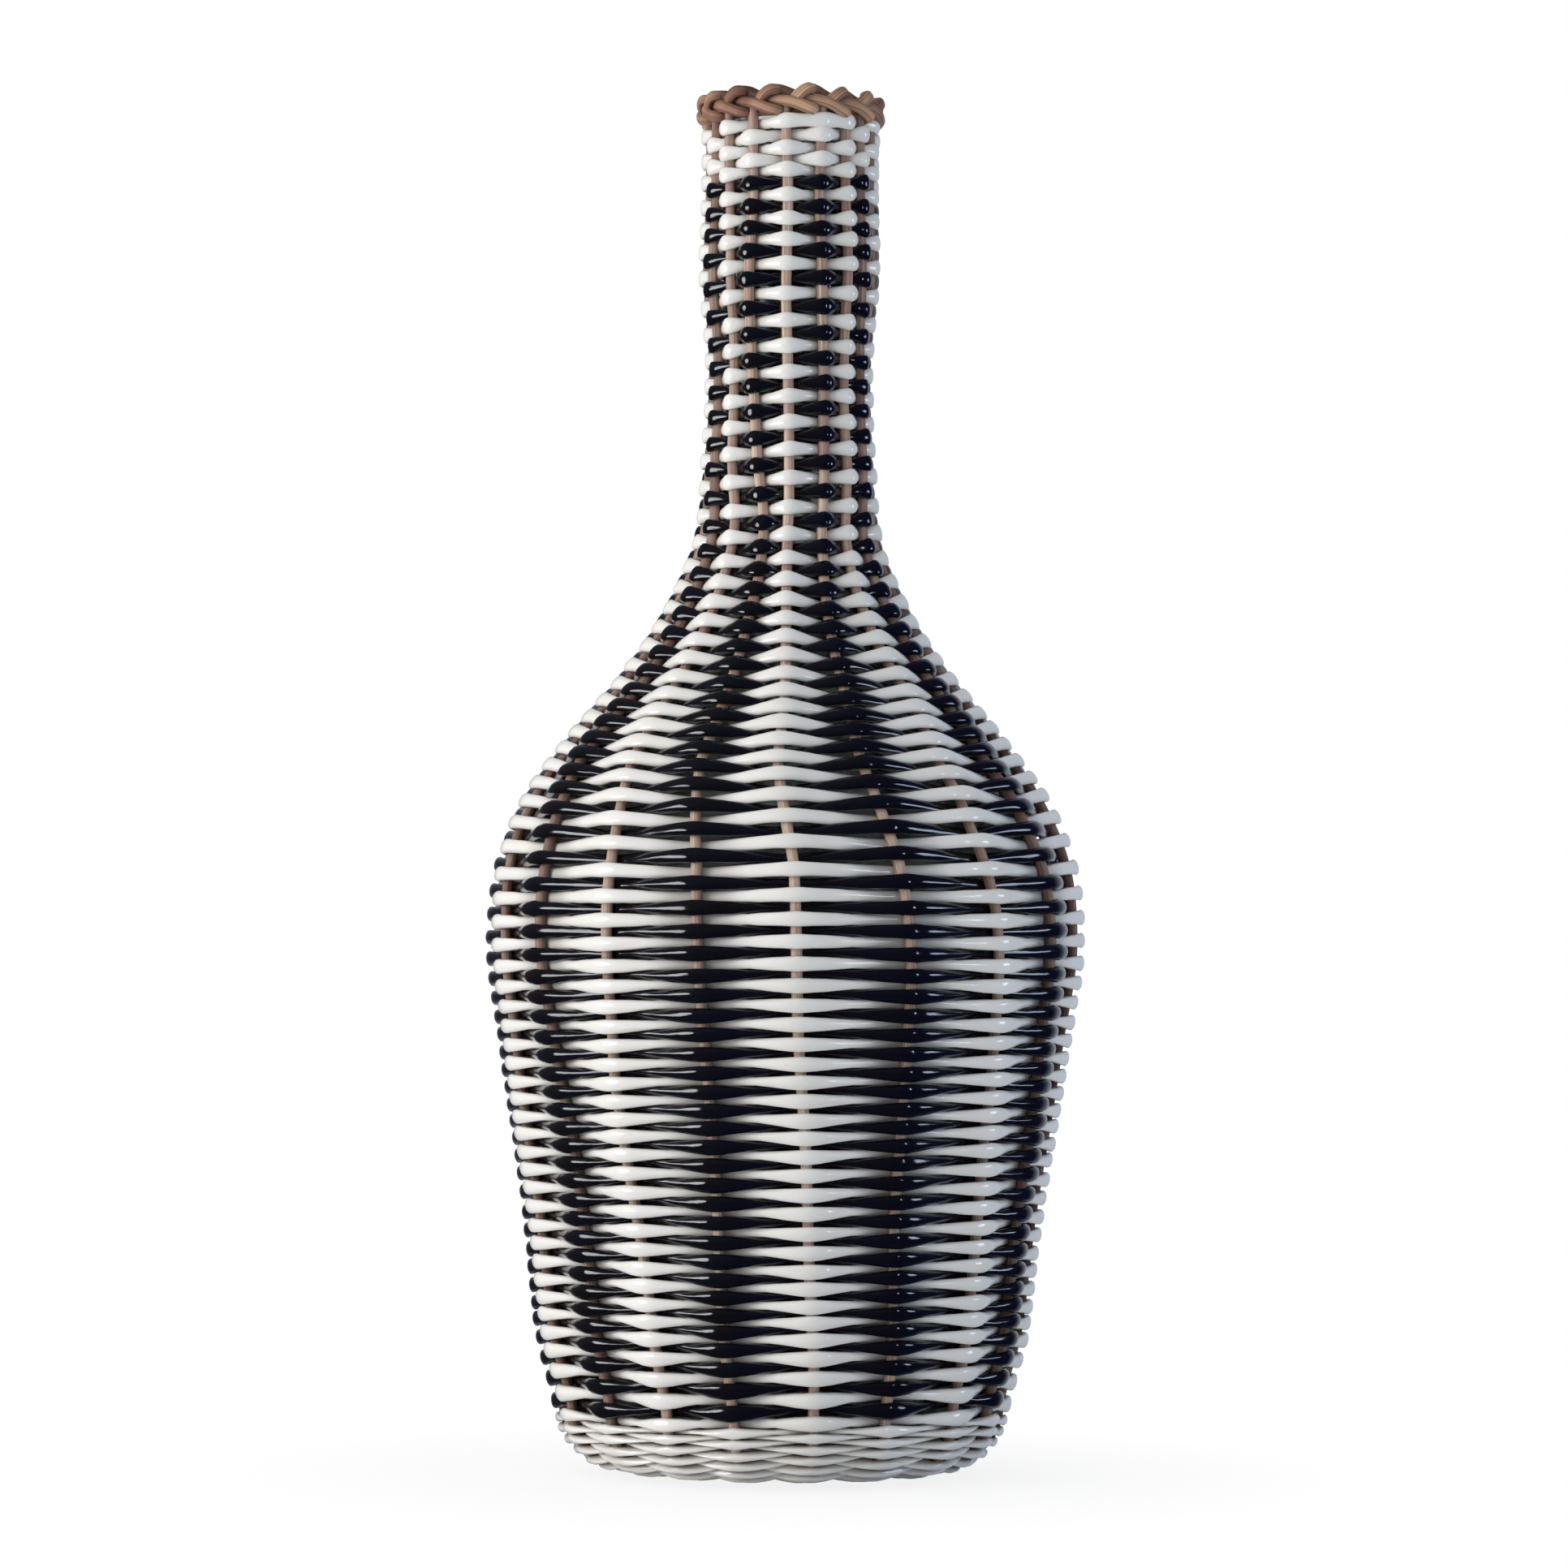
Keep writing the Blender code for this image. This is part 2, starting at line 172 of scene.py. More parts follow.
@dataclass
class CoverWall:
    """The wall of the bottle and, outside it, the line that the stakes follow.

    A place on the cover is given by how far it is along that line from the foot of the
    standing stakes, how far out from it, and its angle round the axis.
    """

    foot_radius: float = 0.0415
    foot_height: float = 0.0073
    heel: Span = (0.0497, 0.0165)
    belly: Span = (0.0659, 0.131)
    neck_foot: Span = (0.0150, 0.244)
    neck_radii: tuple[float, ...] = (0.0138, 0.0153, 0.0149)
    top: Span = (0.0150, 0.3305)
    flank_shares: Table = ((0.13, 0.18), (0.44, 0.46), (0.77, 0.81))
    shoulder_shares: Table = (
        (0.14, 0.035), (0.26, 0.143), (0.39, 0.348), (0.55, 0.627), (0.70, 0.829), (0.845, 0.957),
    )
    neck_climb_shares: tuple[float, ...] = (0.266, 0.543, 0.775)
    # How far the stake line is out from the glass, at shares of the way up the wall
    stake_outs: Table = (
        (0.00, 0.0033), (0.03, 0.0036), (0.056, 0.0042), (0.10, 0.0040), (0.20, 0.0042),
        (0.30, 0.0043), (0.40, 0.0046), (0.50, 0.0045), (0.56, 0.0042), (0.60, 0.0038),
        (0.68, 0.0038), (0.75, 0.0046), (0.80, 0.0045), (0.85, 0.0042), (0.89, 0.0048),
        (1.00, 0.0047),
    )
    stake_count: int = 18
    # Angle of the front stake in degrees, at heights
    front_angles: Table = (
        (0.000, 8.4), (0.030, 7.3), (0.060, 5.7), (0.090, 4.3), (0.120, 2.7), (0.148, 1.2),
        (0.160, -0.6), (0.172, -2.2), (0.185, -1.2), (0.200, -0.4), (0.221, 1.1), (0.235, 1.4),
        (0.249, -0.5), (0.271, -2.4), (0.285, -4.1), (0.321, -5.1),
    )
    # How far stakes stand from their even places, in degrees: each row is a height and an
    # offset for each of the stakes named first, counted from the front one
    offset_stakes: tuple[int, ...] = (-5, -4, -3, -2, -1, 0, 1, 2, 3, 4, 5)
    stake_offsets: tuple = (
        (0.020, (1.0, 1.0, 3.0, 1.8, 0.2, 0.0, 0.0, 2.5, 0.5, 1.0, 1.0)),
        (0.050, (1.0, 1.0, 3.4, 1.0, 0.2, 0.0, 0.2, 3.0, 2.0, 3.0, 2.0)),
        (0.082, (1.0, 1.0, 3.6, 0.0, 0.2, 0.0, 0.8, 3.4, 3.1, 5.0, 3.0)),
        (0.097, (2.0, 2.2, 2.4, -0.4, 0.4, 0.0, 1.2, 4.2, 3.0, 6.0, 4.0)),
        (0.126, (4.0, 4.8, 2.8, 1.1, 0.8, 0.0, 2.4, 3.8, 2.3, 6.6, 4.0)),
        (0.137, (4.0, 4.7, 2.8, 1.6, 1.0, 0.0, 2.2, 3.6, 2.4, 6.6, 4.0)),
        (0.148, (3.0, 3.4, 3.0, 2.2, 1.4, 0.0, 1.4, 2.4, 1.8, 6.8, 4.0)),
        (0.157, (2.0, 2.2, 2.7, 2.7, 1.8, 0.0, 1.0, 2.0, 1.2, 6.0, 3.0)),
        (0.164, (2.0, 3.0, 2.5, 2.5, 2.0, 0.0, 0.8, 2.5, 2.0, 6.0, 3.0)),
        (0.173, (2.0, 2.0, 0.4, 1.3, 2.0, 0.0, 0.5, 1.5, 1.5, 5.0, 3.0)),
        (0.190, (3.0, 3.0, 1.5, 1.5, 1.8, 0.0, 0.3, 2.4, 1.5, 2.0, 1.0)),
        (0.207, (3.0, 2.0, 0.0, 1.8, 1.4, 0.0, -1.2, 0.2, 1.0, 1.0, 0.0)),
        (0.217, (2.0, 0.0, -1.5, 0.5, 2.4, 0.0, -1.2, -1.2, -0.5, 0.0, 0.0)),
        (0.230, (0.0, -2.0, -3.0, -0.5, 1.2, 0.0, 1.5, 1.5, 1.5, 2.0, 2.0)),
        (0.245, (-6.0, -6.0, -6.0, -4.5, -3.8, 0.3, 6.0, 8.0, 8.0, 8.0, 7.0)),
        (0.269, (-7.0, -8.0, -8.0, -5.9, -6.0, 0.5, 8.5, 10.5, 11.0, 10.0, 8.0)),
        (0.297, (-6.0, -6.0, -4.5, -2.4, -3.8, 1.2, 8.3, 7.4, 4.5, 5.0, 5.0)),
        (0.311, (-5.0, -5.0, -4.0, -2.7, -2.7, 1.8, 7.1, 6.6, 4.0, 4.0, 4.0)),
    )
    tight_pitch: float = 0.0045
    pitch_shares: Table = (
        (0.00, 0.602), (0.034, 0.602), (0.040, 1.15), (0.065, 1.17), (0.11, 0.92), (0.19, 1.04),
        (0.23, 0.94), (0.34, 1.02), (0.40, 1.25), (0.43, 1.50), (0.48, 1.19), (0.54, 1.07),
        (0.58, 1.26), (0.66, 1.26), (0.72, 1.60), (0.80, 1.37), (0.84, 1.37), (0.88, 1.62),
        (0.92, 1.20), (1.00, 1.33),
    )
    first_row_place: float = 0.00115
    # The stakes cross under the bottle, so their line goes in to this radius there
    inner_radius: float = 0.0050
    # The standing stakes start this share of the way round the heel, from its widest place
    foot_share: float = 0.75
    # How far rows have been pushed up by hand, in millimetres, at shares of the way up
    row_drifts: Table = (
        (0.00, -0.5), (0.0055, -0.5), (0.012, -0.05), (0.020, 0.15), (0.028, 0.15), (0.034, -0.05),
        (0.041, -0.1), (0.056, 0.7), (0.09, 0.8), (0.12, 0.3), (0.20, 0.2), (0.24, 0.4),
        (0.29, 0.15), (0.35, 0.6), (0.41, 1.0), (0.48, 0.9), (0.54, 1.2), (0.60, 1.6),
        (0.66, 1.25), (0.74, 1.6), (0.82, 1.3), (0.89, 1.5), (0.925, 0.55), (0.955, 1.3),
        (0.973, 0.8), (0.990, 1.5), (0.995, 1.1), (1.000, 0.5),
    )
    # How far rows and stakes wander besides. Each wave of the rows has its number round the
    # bottle, its climb, its shift and its share, and each of the stakes the last three
    row_wander: float = 0.00022
    row_waves: Table = ((2, 71.0, 0.0, 1.0), (5, -53.0, 1.7, 0.8))
    stake_wander: float = 0.00040
    stake_waves: Table = ((47.0, 2.4, 1.0), (101.0, 4.1, 0.6))
    per_span: int = 14
    heel_steps: int = 8
    glass: np.ndarray = field(init=False)
    normals: np.ndarray = field(init=False)
    line: np.ndarray = field(init=False)
    lengths: np.ndarray = field(init=False)
    offset_heights: list[float] = field(init=False)
    offsets: np.ndarray = field(init=False)

    def __post_init__(self) -> None:
        """Lay the glass line and the stake line, and measure them."""
        self.glass = smooth_line(np.array(self._knots()), self.per_span)
        self.normals = line_normals(self.glass)
        climbed = distances(self.glass)
        heel = climbed[int(np.argmin(np.abs(self.glass[:, 1] - self.heel[1])))]
        share = (climbed - heel) / (climbed[-1] - heel)
        self.line = self.glass + self.normals * np.interp(share, *zip(*self.stake_outs))[:, None]
        foot = self._heel_point(math.pi / 2 * self.foot_share)
        lengths = distances(self.line)
        self.lengths = lengths - lengths[int(np.argmin(np.linalg.norm(self.glass - foot, axis=1)))]
        self.offset_heights = [height for height, _ in self.stake_offsets]
        self.offsets = np.radians([
            np.interp(np.arange(self.stake_count), self.offset_stakes, row, period=self.stake_count)
            for _, row in self.stake_offsets
        ])

    def _heel_point(self, turn: float) -> Span:
        """Point of the glass where it turns from the foot to the wall, by angle."""
        return (blend(self.foot_radius, self.heel[0], math.cos(turn)),
                blend(self.heel[1], self.foot_height, math.sin(turn)))

    def _knots(self) -> list[Span]:
        """Corner points of the glass wall.

        Returns:
            Radius and height of each, from under the bottle to the top of the cover.
        """
        knots = [(radius, self.foot_height) for radius in (
            self.inner_radius, self.foot_radius / 3, self.foot_radius * 2 / 3,
        )]
        knots += [self._heel_point(math.pi / 2 * (1 - step / self.heel_steps))
                  for step in range(self.heel_steps)]
        knots.append(self.heel)
        for low, high, shares in (
            (self.heel, self.belly, self.flank_shares),
            (self.belly, self.neck_foot, self.shoulder_shares),
        ):
            knots += [(blend(low[0], high[0], out), blend(low[1], high[1], climb))
                      for climb, out in shares]
            knots.append(high)
        knots += [(radius, blend(self.neck_foot[1], self.top[1], climb))
                  for radius, climb in zip(self.neck_radii, self.neck_climb_shares)]
        return knots + [self.top]

    @property
    def length(self) -> float:
        """Length of the stake line from the foot of the standing stakes to its top."""
        return float(self.lengths[-1])

    def _read(self, table: np.ndarray, along: np.ndarray) -> list[np.ndarray]:
        """Both columns of a table of the line's points, at places along it."""
        return [np.interp(along, self.lengths, column) for column in table.T]

    def flat_point(self, along: np.ndarray, out: np.ndarray) -> tuple[np.ndarray, np.ndarray]:
        """Radius and height of places along the stake line and out from it.

        Args:
            along: Place along the stake line.
            out: Distance out from it, square to the wall.

        Returns:
            The radius and the height.
        """
        radius, height = self._read(self.line, along)
        across, up = self._read(self.normals, along)
        past = np.maximum(np.asarray(along) - self.length, 0.0)
        return radius + across * out, height + past + up * out

    def outward(self, along: np.ndarray, angle: np.ndarray) -> np.ndarray:
        """Unit directions out of the wall."""
        return unit(around_axis(*self._read(self.normals, along), angle))

    def stake_angle(self, along: np.ndarray, number: np.ndarray) -> np.ndarray:
        """Angle of a stake at a place, with its lean and the wander of hand work.

        Args:
            along: Place along the stake line.
            number: Number of the stake, counted from the front one towards +X.

        Returns:
            The angle round the axis, in radians.
        """
        radius, height = self.flat_point(along, 0.0)
        front = np.radians(np.interp(height, *zip(*self.front_angles)))
        even = math.tau * np.asarray(number) / self.stake_count
        kind = np.mod(number, self.stake_count)
        row = np.interp(height, self.offset_heights, np.arange(len(self.offset_heights)))
        low = np.clip(row.astype(int), 0, len(self.offset_heights) - 2)
        offset = blend(self.offsets[low, kind], self.offsets[low + 1, kind], row - low)
        wave = sum(share * np.sin(along * climb + kind * shift)
                   for climb, shift, share in self.stake_waves)
        wander = self.stake_wander * wave / np.maximum(radius, self.foot_radius / 3)
        return front + even + offset + wander

    def row_shift(self, along: np.ndarray, angle: np.ndarray) -> np.ndarray:
        """How far rows wander up or down at a place, alike for rows next to each other.

        Args:
            along: Place along the stake line.
            angle: Angle round the axis.

        Returns:
            The distance, upwards if above 0.
        """
        return self.row_wander * sum(
            share * np.sin(count * angle + along * climb + shift)
            for count, climb, shift, share in self.row_waves
        )

    def place(self, along: np.ndarray, out: np.ndarray, angle: np.ndarray) -> np.ndarray:
        """Points in space of places on the cover."""
        radius, height = self.flat_point(along, out)
        return around_axis(radius, height, angle)

    def pitch(self, along: np.ndarray) -> np.ndarray:
        """Climb of one strand in a full turn at a place."""
        return self.tight_pitch * np.interp(along / self.length, *zip(*self.pitch_shares))

    def row_drift(self, along: np.ndarray) -> np.ndarray:
        """How far the rows at a place have been pushed up by hand."""
        return MILLIMETRE * np.interp(along / self.length, *zip(*self.row_drifts))


# Meshes


@dataclass
class Sweep:
    """A bar along a centre line, with an oval section that may change on its way.

    Attributes:
        centres: Points of the centre line.
        ups: Unit directions of the section's first half size, or one for all the points.
        outs: Unit directions of its second half size.
        half_up: First half sizes, or one for all.
        half_out: Second half sizes, or one for all.
        tucked: How far each ring is hidden behind its neighbours, from 0 to 1, or one for all; the
            finishes paint shade, with some dirt, by it.
        sides: Number of sides.
        squareness: 2 for an ellipse, and more for flatter sides.
        rows: Number of strips that the bake map lays the bar in.
    """

    centres: np.ndarray
    ups: np.ndarray
    outs: np.ndarray
    half_up: np.ndarray | float
    half_out: np.ndarray | float
    tucked: np.ndarray | float
    sides: int
    squareness: float
    rows: int
    strip_fill: float = 0.92
    dome_share: float = 0.5
    # The ends are laid as small discs: their radius as a share of a strip, and how far their
    # middles are from the left edge of the map, in radii
    disc_share: float = 0.4
    disc_places: Span = (1.3, 4.0)

    def __post_init__(self) -> None:
        """Spread single values over all the rings."""
        count = len(self.centres)
        self.ups = np.broadcast_to(self.ups, (count, 3))
        self.half_up, self.half_out, self.tucked = (
            np.broadcast_to(value, count) for value in (self.half_up, self.half_out, self.tucked))

    def build(self, name: str) -> bpy.types.Object:
        """Skin the rings, close both ends with a low dome, and lay the maps.

        Args:
            name: Name of the piece.

        Returns:
            The new object, in the scene.
        """
        turns = math.tau * np.arange(self.sides) / self.sides
        power = 2 / self.squareness
        across = np.sign(np.sin(turns)) * np.abs(np.sin(turns)) ** power
        deep = -np.sign(np.cos(turns)) * np.abs(np.cos(turns)) ** power
        rings = (
            self.centres[:, None]
            + self.ups[:, None] * (self.half_up[:, None] * across)[..., None]
            + self.outs[:, None] * (self.half_out[:, None] * deep)[..., None]
        )
        dome = self.dome_share * np.minimum(self.half_out[[0, -1]], self.half_up[[0, -1]])
        tips = np.stack((
            self.centres[0] - unit(self.centres[1] - self.centres[0]) * dome[0],
            self.centres[-1] + unit(self.centres[-1] - self.centres[-2]) * dome[1],
        ))
        quads, fans, ring, side = tube_faces(len(rings), self.sides)
        mesh = mesh_of(name, np.vstack((rings.reshape(-1, 3), tips)), quads, fans)
        along = distances(self.centres)
        low, high = side / self.sides, (side + 1) / self.sides
        lay = map_places((along[ring], along[ring], along[ring + 1], along[ring + 1]),
                         (low, high, high, low))
        ends = np.where(fans < self.sides, 0.0, along[-1])
        lay_fans = np.stack((ends, (fans % self.sides) / self.sides), axis=-1).reshape(-1, 2)
        set_map(mesh, LAY_MAP, np.vstack((lay, lay_fans)))
        set_map(mesh, BAKE_MAP, self._bake_map(ring, side, turns))
        mesh.uv_layers.active = mesh.uv_layers[BAKE_MAP]
        mesh.uv_layers[BAKE_MAP].active_render = True
        tucked = np.concatenate((np.repeat(self.tucked, self.sides), self.tucked[[0, -1]]))
        layer = mesh.attributes.new("tucked", "FLOAT", "POINT")
        layer.data.foreach_set("value", tucked.astype(np.float32))
        return link_object(name, mesh)

    def _bake_map(self, ring: np.ndarray, side: np.ndarray, turns: np.ndarray) -> np.ndarray:
        """Places of all face corners, with the bar laid in strips that don't overlap.

        Args:
            ring: Ring of each quad.
            side: Side of each quad.
            turns: Angle of each point of a ring.

        Returns:
            The places, the quads' first, then the two ends'.
        """
        per_row = math.ceil((len(self.centres) - 1) / self.rows)
        row, column = ring // per_row, ring % per_row
        margin = (1 - self.strip_fill) / 2
        left, right = (
            (column + more) / per_row * self.strip_fill + margin for more in (0, 1)
        )
        low, high = (
            (row + ((side + more) / self.sides * self.strip_fill + margin)) / (self.rows + 1)
            for more in (0, 1)
        )
        strips = map_places((left, left, right, right), (low, high, high, low))
        # The two ends lie as small discs in a strip of their own, at the top
        disc = self.disc_share / (self.rows + 1)
        near, far = (disc * place for place in self.disc_places)
        middles = np.repeat(((near, 1 - near), (far, 1 - near)), self.sides, axis=0)
        rim = np.stack((np.cos(turns), np.sin(turns)), axis=1) * disc
        after = np.roll(rim, -1, axis=0)
        discs = (middles + np.vstack((after, rim)), middles + np.vstack((rim, after)), middles)
        return np.vstack((strips, np.stack(discs, axis=1).reshape(-1, 2)))


def tube_faces(rings: int, sides: int) -> tuple[np.ndarray, ...]:
    """Faces of a tube, closed by fans on two points that come after those of the rings.

    Args:
        rings: Number of rings.
        sides: Number of points in each ring.

    Returns:
        The quads, the triangles of both fans, and the ring and the side of each quad.
    """
    ring, side = (grid.ravel() for grid in np.meshgrid(
        np.arange(rings - 1), np.arange(sides), indexing="ij"))
    low, high, after = ring * sides, (ring + 1) * sides, (side + 1) % sides
    quads = np.stack((low + side, low + after, high + after, high + side), axis=1)
    lap, last = np.arange(sides), (rings - 1) * sides
    turn = (lap + 1) % sides
    start = np.stack((turn, lap, np.full(sides, rings * sides)), axis=1)
    end = np.stack((last + lap, last + turn, np.full(sides, rings * sides + 1)), axis=1)
    return quads, np.vstack((start, end)), ring, side


def map_places(across: tuple[np.ndarray, ...], up: tuple[np.ndarray, ...]) -> np.ndarray:
    """Map places of face corners, from both coordinates of each corner of the faces."""
    return np.stack((np.stack(across, axis=1), np.stack(up, axis=1)), axis=-1).reshape(-1, 2)


def mesh_of(name: str, verts: np.ndarray, quads: np.ndarray,
            triangles: np.ndarray) -> bpy.types.Mesh:
    """A smooth-shaded mesh of quads, then triangles, from arrays.

    Args:
        name: Name of the mesh.
        verts: Corner points, one row each.
        quads: Four corner numbers a face, one row each.
        triangles: Three corner numbers a face, one row each.

    Returns:
        The new mesh.
    """
    mesh = bpy.data.meshes.new(name)
    corners = np.concatenate((quads.ravel(), triangles.ravel()))
    sizes = np.concatenate((np.full(len(quads), 4), np.full(len(triangles), 3)))
    starts = np.concatenate(([0], np.cumsum(sizes)[:-1]))
    mesh.vertices.add(len(verts))
    mesh.vertices.foreach_set("co", verts.astype(np.float32).ravel())
    mesh.loops.add(len(corners))
    mesh.loops.foreach_set("vertex_index", corners.astype(np.int32))
    mesh.polygons.add(len(sizes))
    mesh.polygons.foreach_set("loop_start", starts.astype(np.int32))
    mesh.update(calc_edges=True)
    mesh.validate()
    mesh.shade_smooth()
    return mesh


def set_map(mesh: bpy.types.Mesh, name: str, places: np.ndarray) -> None:
    """Give a mesh a map of this name, with one place for each face corner."""
    layer = mesh.uv_layers.new(name=name, do_init=False)
    layer.uv.foreach_set("vector", places.astype(np.float32).ravel())


def link_object(name: str, mesh: bpy.types.Mesh) -> bpy.types.Object:
    """A new object with this mesh, in the scene.

    Args:
        name: Name of the object.
        mesh: The mesh.

    Returns:
        The object.
    """
    made = bpy.data.objects.new(name, mesh)
    bpy.context.scene.collection.objects.link(made)
    return made


def dress(piece: bpy.types.Object, material: bpy.types.Material, slot: Slot, *nodes: str) -> None:
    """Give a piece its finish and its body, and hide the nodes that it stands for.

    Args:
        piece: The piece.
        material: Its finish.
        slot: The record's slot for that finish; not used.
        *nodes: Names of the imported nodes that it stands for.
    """
    piece.data.materials.clear()
    piece.data.materials.append(material)
    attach(piece, BODY)
    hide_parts(*nodes)
    log.info("%s: %d faces, for %s", piece.name, len(piece.data.polygons), ", ".join(nodes))


# Finishes


class Wiring:
    """Adds nodes to a tree and joins them."""

    def __init__(self, tree: bpy.types.NodeTree) -> None:
        """Work on this tree."""
        self.tree = tree

    def feed(self, node: bpy.types.Node, inputs: dict) -> None:
        """Set inputs of a node to values, or join them to sockets.

        Args:
            node: The node.
            inputs: A value or an output socket for each input, by name or number.
        """
        for key, value in inputs.items():
            if isinstance(value, Socket):
                self.tree.links.new(value, node.inputs[key])
            else:
                node.inputs[key].default_value = value

    def node(self, kind: str, inputs: dict | None = None, **settings: object) -> bpy.types.Node:
        """Add a node.

        Args:
            kind: Type name of the node, without the words that all of them start with.
            inputs: A value or an output socket for each named or numbered input.
            **settings: Properties of the node itself.

        Returns:
            The new node.
        """
        made = self.tree.nodes.new("ShaderNode" + kind)
        for key, value in settings.items():
            setattr(made, key, value)
        self.feed(made, inputs or {})
        return made

    def maths(self, operation: str, *values: object) -> Socket:
        """The result of a sum on one to three values or sockets."""
        return self.node("Math", dict(enumerate(values)), operation=operation).outputs[0]

    def mix(self, share: object, first: object, second: object) -> Socket:
        """A colour this share of the way from the first to the second."""
        # A mix node has sockets of every kind, and those of its colours have these numbers
        return self.node("Mix", {0: share, 6: first, 7: second}, data_type="RGBA").outputs[2]

    def ranged(self, value: Socket, low: float, high: float, start: float = 0.0,
               stop: float = 1.0) -> Socket:
        """A value that is read over one span and given back over another.

        Args:
            value: The value.
            low: Where the first span starts.
            high: Where it ends.
            start: What is given back at its start and before it.
            stop: What is given back at its end and after it.

        Returns:
            The new value.
        """
        return self.node("MapRange", {
            "Value": value, "From Min": low, "From Max": high, "To Min": start, "To Max": stop,
        }, clamp=True).outputs["Result"]

    def noise(self, place: Socket, scale: object, detail: object, roughness: float = 0.5) -> Socket:
        """Soft noise, mostly between 0.3 and 0.7.

        Args:
            place: Place of each point.
            scale: Number of waves in each unit of the place.
            detail: Number of finer layers.
            roughness: How strong each finer layer is.

        Returns:
            The noise.
        """
        return self.node("TexNoise", {
            "Vector": place, "Scale": scale, "Detail": detail, "Roughness": roughness,
        }).outputs["Fac"]

    def split(self, vector: Socket) -> Sockets:
        """The three parts of a vector, named X, Y and Z."""
        return self.node("SeparateXYZ", {"Vector": vector}).outputs

    def place(self) -> Socket:
        """The place of each point in the bottle's own frame."""
        return self.node("TexCoord").outputs["Object"]

    def effect(self, group: bpy.types.NodeTree, **inputs: object) -> Sockets:
        """The outputs of a shared effect, with these inputs."""
        return self.node("Group", inputs, node_tree=group).outputs

    def bump(self, height: Socket, depth: float, strength: float, **more: Socket) -> Socket:
        """A normal that is bent as if the surface had this height."""
        inputs = {"Height": height, "Distance": depth, "Strength": strength} | more
        return self.node("Bump", inputs).outputs["Normal"]

    def seen(self) -> Socket:
        """1 for what the eye sees, also through the glass, and 0 for what gives light."""
        rays = self.node("LightPath").outputs
        return self.maths("MAXIMUM", rays["Is Camera Ray"], rays["Is Transmission Ray"])


